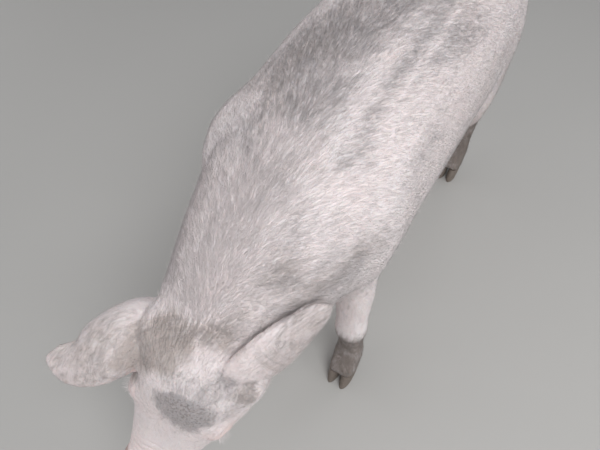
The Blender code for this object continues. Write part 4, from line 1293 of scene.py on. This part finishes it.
def make_eye(name, side):
    """An eyeball with a domed cornea, whose own Z axis is the way it looks."""
    low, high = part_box(name)
    radius = min(high[i] - low[i] for i in range(3)) / 2
    ball = bpy.data.meshes.new(name + "_ball")
    bm = bmesh.new()
    bmesh.ops.create_icosphere(bm, subdivisions=5, radius=1)
    for vert in bm.verts:
        angle = math.acos(max(-1.0, min(1.0, vert.co.z)))
        vert.co *= radius * (BALL_SHARE + CORNEA_HEIGHT * math.exp(-((angle / CORNEA_ANGLE) ** 4)))
    bm.to_mesh(ball)
    bm.free()
    obj = link(bpy.data.objects.new(name + "_ball", ball))
    first, _, third = eye_axes(side)
    columns = np.array([first, np.cross(third, first), third]).T
    obj.matrix_world = Matrix.Translation(Vector(middle_of(name))) @ Matrix(columns.tolist()).to_4x4()
    ball.shade_smooth()
    return obj


# The fringe of lashes: how many, their length, radius and droop, and where along, above and before
# the eye's middle their roots lie
LASH_COUNT = 34
LASH_LENGTH = 0.013
LASH_RADIUS = 0.00017
LASH_DROOP = 0.30
LASH_HALF = 0.0118
LASH_LOW = 0.0016
LASH_ARCH = 0.0062
LASH_OUT = 0.0128


def make_lashes(name, side, skin_tree, rng):
    """A fringe of pale lashes along the upper lid."""
    along, up, out = eye_axes(side)
    centre = middle_of(name)
    roots, ways, lengths = [], [], []
    for share in np.linspace(-0.95, 0.95, LASH_COUNT):
        share += rng.uniform(-0.03, 0.03)
        arch = (1 - share * share) * LASH_ARCH + LASH_LOW
        guess = centre + along * share * LASH_HALF + up * arch + out * LASH_OUT
        root = np.array(skin_tree.find_nearest(guess.tolist())[0])
        way = unit(out * 0.85 + up * 0.45 + along * share * 0.45 + rng.normal(0, 0.06, 3))
        roots.append(root - way * BRISTLE_SUNK)
        ways.append(way)
        lengths.append(LASH_LENGTH * rng.uniform(0.7, 1.15))
    bends = [-up * LASH_DROOP] * LASH_COUNT
    return hairs(name + "_lashes", roots, ways, lengths, LASH_RADIUS, bends)


HOOF_CELL = 0.0015
HOOF_STEPS = 12
HOOF_INSET = 0.0003
RING_HEIGHT = 0.00022
RING_PITCH = 0.0042
RING_SLOPE = 0.22
PIT_HEIGHT = 0.0005
SOLE_HEIGHT = 0.0012


def make_hoof(node):
    """A claw with rounded edges and growth rings, cut flat at its sole, or a dewclaw."""
    main = node.startswith("claw")
    hoof = fused("horn_" + node, [whole_mesh(node)], HOOF_CELL)
    relax(hoof, HOOF_STEPS, 0.5)
    points, normals = coordinates(hoof.data), normals_of(hoof.data)
    around = 1 - np.abs(normals[:, 2])
    wave = (points[:, 2] + RING_SLOPE * points[:, 0]) / RING_PITCH
    rings = np.sin(2 * math.pi * wave + 2 * rough(points, 60.0, 5.0))
    height = RING_HEIGHT * rings * ease(around, 0.3, 0.8) - HOOF_INSET
    height += PIT_HEIGHT * rough(points, 130.0, 2.0)
    if main:
        height *= ease(points[:, 2], 0.0005, 0.004)
    points += normals * height[:, None]
    if main:
        points[:, 2] = np.where(points[:, 2] < SOLE_HEIGHT, 0.0, points[:, 2])
    low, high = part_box(node)
    place(hoof, np.clip(points, np.array(low), np.array(high)))
    hoof.data.shade_smooth()
    return hoof


# Materials


# Noise along the hair: its stretch, detail, roughness and distortion
PATTERNS = {
    "streaks": ((20.0, 85.0, 85.0), 5.0, 0.65, 0.5),
    "mottle": ((52.0, 120.0, 120.0), 5.0, 0.68, 0.9),
    "blotches": ((13.0, 21.0, 21.0), 5.0, 0.65, 0.7),
}
FINE_HAIR = ((70.0, 640.0, 640.0), 3.0, 0.6, 0.0)
# Layers over hide and coat: name, marking, patterns that move it and how far, the values over which
# it sets in, and how much it covers of what is under it
LAYERS = (
    ("film", "mud", (("blotches", 1.7),), (0.05, 1.15), 0.34),
    ("dirt", "dirt", (("blotches", -1.1), ("mottle", 1.5)), (0.12, 1.05), 0.58),
    ("mud", "mud", (("mottle", 1.9), ("streaks", 1.5)), (0.26, 1.15), 0.54),
    ("caked", "caked", (("blotches", 1.6), ("mottle", 1.2)), (0.45, 1.15), 0.80),
)
GRIT_SCALE = 260.0
GRIT_BY_MUD = 0.10
GRIT_RANGE = (0.68, 0.76)
GRIT_COVER = 0.45
# How much the painted shade darkens the nostrils and the mouth's line
HOLLOW_SHADE_COVER = 0.92
# Colours that nobody would change: the painted shade in the nostrils and along the mouth, the white, rim
# and pupil of the eye, and the sky
HOLLOW_SHADE_COLOUR = (0.035, 0.018, 0.014)
EYE_WHITES = ((0.40, 0.29, 0.24), (0.30, 0.17, 0.13))
EYE_RIM = (0.02, 0.012, 0.008)
PUPIL = (0.004, 0.004, 0.005)
SKY_COLOUR = (0.96, 0.96, 1.0, 1.0)
SKY_STRENGTH = 0.35
# The radius at which the pattern of the iris counts as 1
EYE_RING = 0.012


class Shader:
    """A small helper that adds nodes to a material and links them."""

    def __init__(self, name):
        self.material = bpy.data.materials.new(name)
        self.material.use_nodes = True
        self.tree = self.material.node_tree
        self.surface = self.tree.nodes["Principled BSDF"]

    def put(self, socket, value):
        if hasattr(value, "is_linked"):
            self.tree.links.new(value, socket)
        elif value is not None:
            socket.default_value = value

    def set(self, **values):
        """Sets or links the surface's inputs, with spaces for underlines."""
        for name, value in values.items():
            self.put(self.surface.inputs[name.replace("_", " ")], value)

    def node(self, kind, inputs=None, **settings):
        made = self.tree.nodes.new("ShaderNode" + kind)
        for name, value in settings.items():
            setattr(made, name, value)
        for name, value in (inputs or {}).items():
            self.put(made.inputs[name], value)
        return made.outputs

    def object_place(self):
        return self.node("TexCoord")["Object"]

    def value_of(self, name):
        return self.node("Attribute", attribute_name=name)["Fac"]

    def noise(self, vector, scale, detail=3.0, rough=0.55, distortion=0.0):
        values = {"Scale": scale, "Detail": detail, "Roughness": rough, "Distortion": distortion}
        return self.node("TexNoise", {"Vector": vector, **values})["Fac"]

    def stretched(self, vector, stretch, *shape):
        """Noise of a vector that is stretched along its axes."""
        scaled = self.node("VectorMath", {0: vector, 1: stretch}, operation="MULTIPLY")["Vector"]
        return self.noise(scaled, 1.0, *shape)

    def along_hair(self, pattern):
        grain = self.node("Attribute", attribute_name="grain")["Vector"]
        return self.stretched(grain, *pattern)

    def cells(self, scale):
        return self.node("TexVoronoi", {"Vector": self.object_place(), "Scale": scale})["Distance"]

    def math(self, operation, first, second=None, clamp=False):
        return self.node("Math", {0: first, 1: second}, operation=operation, use_clamp=clamp)["Value"]

    def times(self, value, by):
        return self.math("MULTIPLY", value, by)

    def varied(self, value, pattern, strength, clamp=False):
        """A value moved up and down by a pattern that runs from 0 to 1."""
        swing = self.times(self.math("SUBTRACT", pattern, 0.5), strength)
        return self.math("ADD", value, swing, clamp=clamp)

    def ranged(self, value, low, high, to_low=0.0, to_high=1.0):
        values = {"Value": value, "From Min": low, "From Max": high, "To Min": to_low, "To Max": to_high}
        return self.node("MapRange", values, interpolation_type="SMOOTHSTEP")["Result"]

    def mixed(self, share, first, second):
        sides = [side if hasattr(side, "is_linked") else (*side, 1.0) for side in (first, second)]
        return self.node("Mix", {0: share, 6: sides[0], 7: sides[1]}, data_type="RGBA")[2]

    def bump(self, height, distance, strength=1.0, under=None):
        values = {"Strength": strength, "Distance": distance, "Height": height, "Normal": under}
        return self.node("Bump", values)["Normal"]


def shade(colour, by):
    return tuple(min(channel * by, 1.0) for channel in colour)


def marked(look, base):
    """Mud and dirt over a base colour, alike on skin and coat, with painted shade from some marks and down
    in the nostrils and along the mouth. Returns colour, and mud and dirt with the marks' painted shade.
    """
    mud, dirt = colours().mud, colours().dirt
    tones = {"film": shade(mud, 1.18), "dirt": dirt, "mud": mud, "caked": shade(dirt, 0.50)}
    patterns = {name: look.along_hair(pattern) for name, pattern in PATTERNS.items()}
    masks = {}
    for name, marking, swings, edge, cover in LAYERS:
        value = look.value_of(marking)
        for pattern, strength in swings:
            value = look.varied(value, patterns[pattern], strength)
        masks[name] = look.ranged(value, *edge)
        base = look.mixed(look.times(masks[name], cover), base, tones[name])
    grit = look.noise(look.object_place(), GRIT_SCALE, 3.0, 0.6)
    grit = look.math("ADD", grit, look.times(look.value_of("mud"), GRIT_BY_MUD))
    base = look.mixed(look.times(look.ranged(grit, *GRIT_RANGE), GRIT_COVER), base, shade(dirt, 0.45))
    # Painted shade down in the nostrils and along the mouth's line
    base = look.mixed(look.times(look.value_of("hollow"), HOLLOW_SHADE_COVER), base, HOLLOW_SHADE_COLOUR)
    return base, masks["mud"], masks["dirt"]


def skin_look():
    """Pale hide with pink showing through, fine hair streaks, pores, mud and dirt, with painted shade in
    the nostrils, along the mouth and in some marks.
    """
    look = Shader("pig_skin")
    colour = colours()
    fine = look.along_hair(FINE_HAIR)
    broad = look.noise(look.object_place(), 9.0, 3.0, 0.55)
    pink = look.varied(look.varied(look.value_of("pinkness"), fine, 0.9), broad, 0.5, clamp=True)
    base = look.mixed(pink, colour.white, colour.pink)
    patchy = look.ranged(look.noise(look.object_place(), 95.0, 5.0, 0.65, 0.6), 0.35, 0.65)
    disc = look.mixed(patchy, shade(colour.snout, 0.84), shade(colour.pink, 0.95))
    dots = look.ranged(look.cells(330.0), 0.10, 0.42)
    disc = look.mixed(look.times(dots, 0.30), shade(colour.snout, 0.62), disc)
    bare = look.value_of("bareness")
    made, mud, dirt = marked(look, look.mixed(bare, base, disc))
    dull = look.math("SUBTRACT", look.ranged(fine, 0.2, 0.8, 0.62, 0.50), look.times(bare, 0.22))
    look.set(Base_Color=made, Roughness=look.math("ADD", dull, look.times(dirt, 0.20), clamp=True))
    look.set(Specular_IOR_Level=0.35, Subsurface_Weight=0.08)
    look.set(Subsurface_Radius=(0.9, 0.35, 0.2), Subsurface_Scale=0.004)
    wrinkles = look.noise(look.object_place(), 210.0, 4.0, 0.65, 0.5)
    hide = look.bump(wrinkles, 0.0006, 0.5)
    hide = look.bump(look.cells(620.0), 0.0003, 0.35, hide)
    hide = look.bump(look.times(dots, bare), 0.0007, 0.7, hide)
    hide = look.bump(fine, 0.0008, 0.45, hide)
    look.set(Normal=look.bump(mud, 0.0007, 0.6, hide))
    return look.material


def coat_look():
    """White bristles, each with its own tone, carrying the skin's mud, dirt and painted shade."""
    look = Shader("pig_bristles")
    colour = colours()
    base = look.mixed(look.value_of("shade"), shade(colour.white, 1.17), shade(colour.white, 1.0))
    base = look.mixed(look.times(look.value_of("pinkness"), 0.22), base, colour.pink)
    made, _, dirt = marked(look, base)
    look.set(Base_Color=made, Roughness=look.math("ADD", 0.38, look.times(dirt, 0.35)))
    look.set(Specular_IOR_Level=0.45)
    return look.material


def lash_look():
    look = Shader("pig_lashes")
    tone = look.noise(look.object_place(), 300.0)
    pale = look.mixed(tone, shade(colours().white, 1.1), shade(colours().white, 0.85))
    look.set(Base_Color=pale, Roughness=0.40)
    return look.material


def horn_look():
    """Layered horn, cracked along its height and caked with mud in patches."""
    look = Shader("pig_horn")
    colour = colours()
    spot = look.object_place()
    bands = look.stretched(spot, (60.0, 60.0, 420.0), 4.0, 0.6, 0.4)
    cracks = look.stretched(spot, (320.0, 320.0, 40.0), 4.0, 0.65)
    base = look.mixed(bands, shade(colour.horn, 0.75), shade(colour.horn, 1.6))
    base = look.mixed(look.ranged(cracks, 0.60, 0.72), base, shade(colour.horn, 0.45))
    caked = look.ranged(look.noise(spot, 55.0, 5.0, 0.65, 0.3), 0.36, 0.56)
    base = look.mixed(look.times(caked, 0.85), base, shade(colour.dirt, 0.50))
    look.set(Base_Color=base, Roughness=look.ranged(caked, 0.0, 1.0, 0.48, 0.85))
    ribbed = look.bump(cracks, 0.0004, 0.5, look.bump(bands, 0.0006, 0.6))
    look.set(Normal=look.bump(caked, 0.0010, 0.7, ribbed))
    return look.material


def eye_look():
    """Brown iris with fibres round a dark pupil, a dark rim and a wet surface."""
    look = Shader("pig_eye")
    colour = colours()
    spot = look.object_place()
    parts = look.node("SeparateXYZ", {0: spot})
    squares = [look.math("POWER", parts[axis], 2.0) for axis in (0, 1)]
    ring = look.math("DIVIDE", look.math("SQRT", look.math("ADD", *squares)), EYE_RING)
    angle = look.math("ARCTAN2", parts[1], parts[0])
    spread = look.node("CombineXYZ", {0: look.times(angle, 9.0), 1: look.times(ring, 1.4)})
    fibres = look.noise(spread[0], 1.0, 4.0, 0.6)
    iris = look.mixed(fibres, shade(colour.iris, 0.45), shade(colour.iris, 1.9))
    white = look.mixed(look.noise(spot, 260.0, 4.0), *EYE_WHITES)
    eye = look.mixed(look.ranged(ring, 0.62, 0.70), iris, EYE_RIM)
    eye = look.mixed(look.ranged(ring, 0.72, 0.80), eye, white)
    eye = look.mixed(look.ranged(ring, 0.26, 0.30), PUPIL, eye)
    look.set(Base_Color=eye, Roughness=look.ranged(fibres, 0.0, 1.0, 0.05, 0.10))
    look.set(Coat_Weight=1.0, Coat_Roughness=0.03, Specular_IOR_Level=0.6)
    return look.material


def floor_look():
    look = Shader("stage_floor")
    tone = look.noise(look.object_place(), 1.6, 4.0)
    floor = look.mixed(tone, shade(colours().floor, 0.985), shade(colours().floor, 1.015))
    look.set(Base_Color=floor, Roughness=0.85)
    return look.material


def dress(piece, material, slot, *nodes):
    """Gives a piece its material and body, and hides the solids that it stands for. The slot is not used.
    """
    piece.data.materials.clear()
    piece.data.materials.append(material)
    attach(piece, BODY)
    if nodes:
        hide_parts(*nodes)


# Operators


class PIG_OT_skin(bpy.types.Operator):
    """Fuse the flesh into one skin with its folds"""

    bl_idname = "pig.skin"
    bl_label = "Skin"

    def execute(self, context):
        dress(make_skin(), skin_look(), "skin", *FLESH)
        return {"FINISHED"}


def made_skin():
    skin = bpy.data.objects.get("skin")
    if skin is None:
        raise RuntimeError("make the skin first")
    return skin


class PIG_OT_coat(bpy.types.Operator):
    """Mark the skin and grow the bristles on it"""

    bl_idname = "pig.coat"
    bl_label = "Bristles"

    def execute(self, context):
        skin = made_skin()
        ground = Ground(skin)
        mark_mesh(skin.data, ground.markings)
        rng = np.random.default_rng(SEED)
        material = coat_look()
        for name, parts, side, count in COAT_PIECES:
            dress(bristles(name, ground, parts, side, count, rng), material, "skin")
        return {"FINISHED"}


class PIG_OT_eyes(bpy.types.Operator):
    """Make the eyeballs and their lashes"""

    bl_idname = "pig.eyes"
    bl_label = "Eyes"

    def execute(self, context):
        tree = surface_tree(made_skin())
        rng = np.random.default_rng(SEED + 1)
        ball_material, lash_material = eye_look(), lash_look()
        for name, side in (("eye_left", 1), ("eye_right", -1)):
            dress(make_eye(name, side), ball_material, "eye", name)
            dress(make_lashes(name, side, tree, rng), lash_material, "skin")
        return {"FINISHED"}


class PIG_OT_hooves(bpy.types.Operator):
    """Make the claws and dewclaws"""

    bl_idname = "pig.hooves"
    bl_label = "Hooves"

    def execute(self, context):
        material = horn_look()
        for node in CLAWS + DEWCLAWS:
            dress(make_hoof(node), material, "horn", node)
        return {"FINISHED"}


class PIG_OT_stage(bpy.types.Operator):
    """Set the floor, the light and the camera"""

    bl_idname = "pig.stage"
    bl_label = "Stage"

    def execute(self, context):
        make_floor()
        make_lights()
        make_camera()
        return {"FINISHED"}


FLOOR_GAP = 0.0005


def make_floor():
    half = sizes().floor_size / 2
    corners = [(-half, -half, 0), (half, -half, 0), (half, half, 0), (-half, half, 0)]
    floor = mesh_object("floor", np.array(corners, float), [(0, 1, 2, 3)])
    floor.location.z = -FLOOR_GAP
    floor.data.materials.append(floor_look())


# Lights: name, place, size, power
LIGHTS = (
    ("key_panel", (1.1, 1.3, 2.5), 1.4, 47.0),
    ("left_panel", (0.0, 2.7, 1.1), 1.6, 17.0),
    ("right_panel", (0.2, -2.7, 1.3), 1.8, 11.0),
    ("near_panel", (2.3, -1.4, 1.7), 1.8, 11.0),
    ("back_panel", (-2.2, 0.4, 2.3), 1.6, 12.0),
)
LIGHT_AIM = (0.1, 0.0, 0.35)


def make_lights():
    for name, spot, size, power in LIGHTS:
        lamp = bpy.data.lights.new(name, "AREA")
        lamp.size = size
        lamp.energy = power
        obj = link(bpy.data.objects.new(name, lamp))
        obj.location = spot
        obj.rotation_euler = (Vector(LIGHT_AIM) - Vector(spot)).to_track_quat("-Z", "Y").to_euler()
    world = bpy.data.worlds.new("soft_sky")
    world.use_nodes = True
    sky = world.node_tree.nodes["Background"]
    sky.inputs["Color"].default_value = SKY_COLOUR
    sky.inputs["Strength"].default_value = SKY_STRENGTH
    bpy.context.scene.world = world
    bpy.context.scene.view_settings.view_transform = "Standard"


def make_camera():
    c, s = math.cos(CAMERA_DOWN), math.sin(CAMERA_DOWN)
    forward = np.array([c * math.cos(CAMERA_YAW), c * math.sin(CAMERA_YAW), -s])
    right = np.array([math.sin(CAMERA_YAW), -math.cos(CAMERA_YAW), 0.0])
    down = np.cross(forward, right)
    c, s = math.cos(CAMERA_ROLL), math.sin(CAMERA_ROLL)
    columns = np.array([c * right + s * down, s * right - c * down, -forward]).T
    lens = bpy.data.cameras.new("camera")
    lens.lens = CAMERA_LENS
    lens.sensor_width = SENSOR_WIDTH
    lens.clip_start = NEAREST
    camera = link(bpy.data.objects.new("camera", lens))
    spot = Matrix.Translation(Vector(on_trunk(CAMERA_PLACE)))
    camera.matrix_world = spot @ Matrix(columns.tolist()).to_4x4()
    bpy.context.scene.camera = camera


class PIG_PT_panel(bpy.types.Panel):
    """Lists the pig's pieces, sizes and colours"""

    bl_idname = "PIG_PT_panel"
    bl_label = "Domestic pig"
    bl_space_type = "VIEW_3D"
    bl_region_type = "UI"
    bl_category = "Pig"

    def draw(self, context):
        layout = self.layout
        for operator in OPERATORS:
            layout.operator(operator.bl_idname)
        for group in (context.scene.pig_sizes, context.scene.pig_colours):
            box = layout.box()
            for name in group.__annotations__:
                box.prop(group, name)


OPERATORS = (PIG_OT_skin, PIG_OT_coat, PIG_OT_eyes, PIG_OT_hooves, PIG_OT_stage)
CLASSES = (PigSizes, PigColours) + OPERATORS + (PIG_PT_panel,)


def register():
    for item in CLASSES:
        bpy.utils.register_class(item)
    bpy.types.Scene.pig_sizes = PointerProperty(type=PigSizes)
    bpy.types.Scene.pig_colours = PointerProperty(type=PigColours)


def unregister():
    del bpy.types.Scene.pig_colours
    del bpy.types.Scene.pig_sizes
    for item in reversed(CLASSES):
        bpy.utils.unregister_class(item)


def main():
    register()
    bpy.ops.pig.skin()
    bpy.ops.pig.coat()
    bpy.ops.pig.eyes()
    bpy.ops.pig.hooves()
    bpy.ops.pig.stage()
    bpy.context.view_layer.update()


if __name__ == "__main__":
    main()
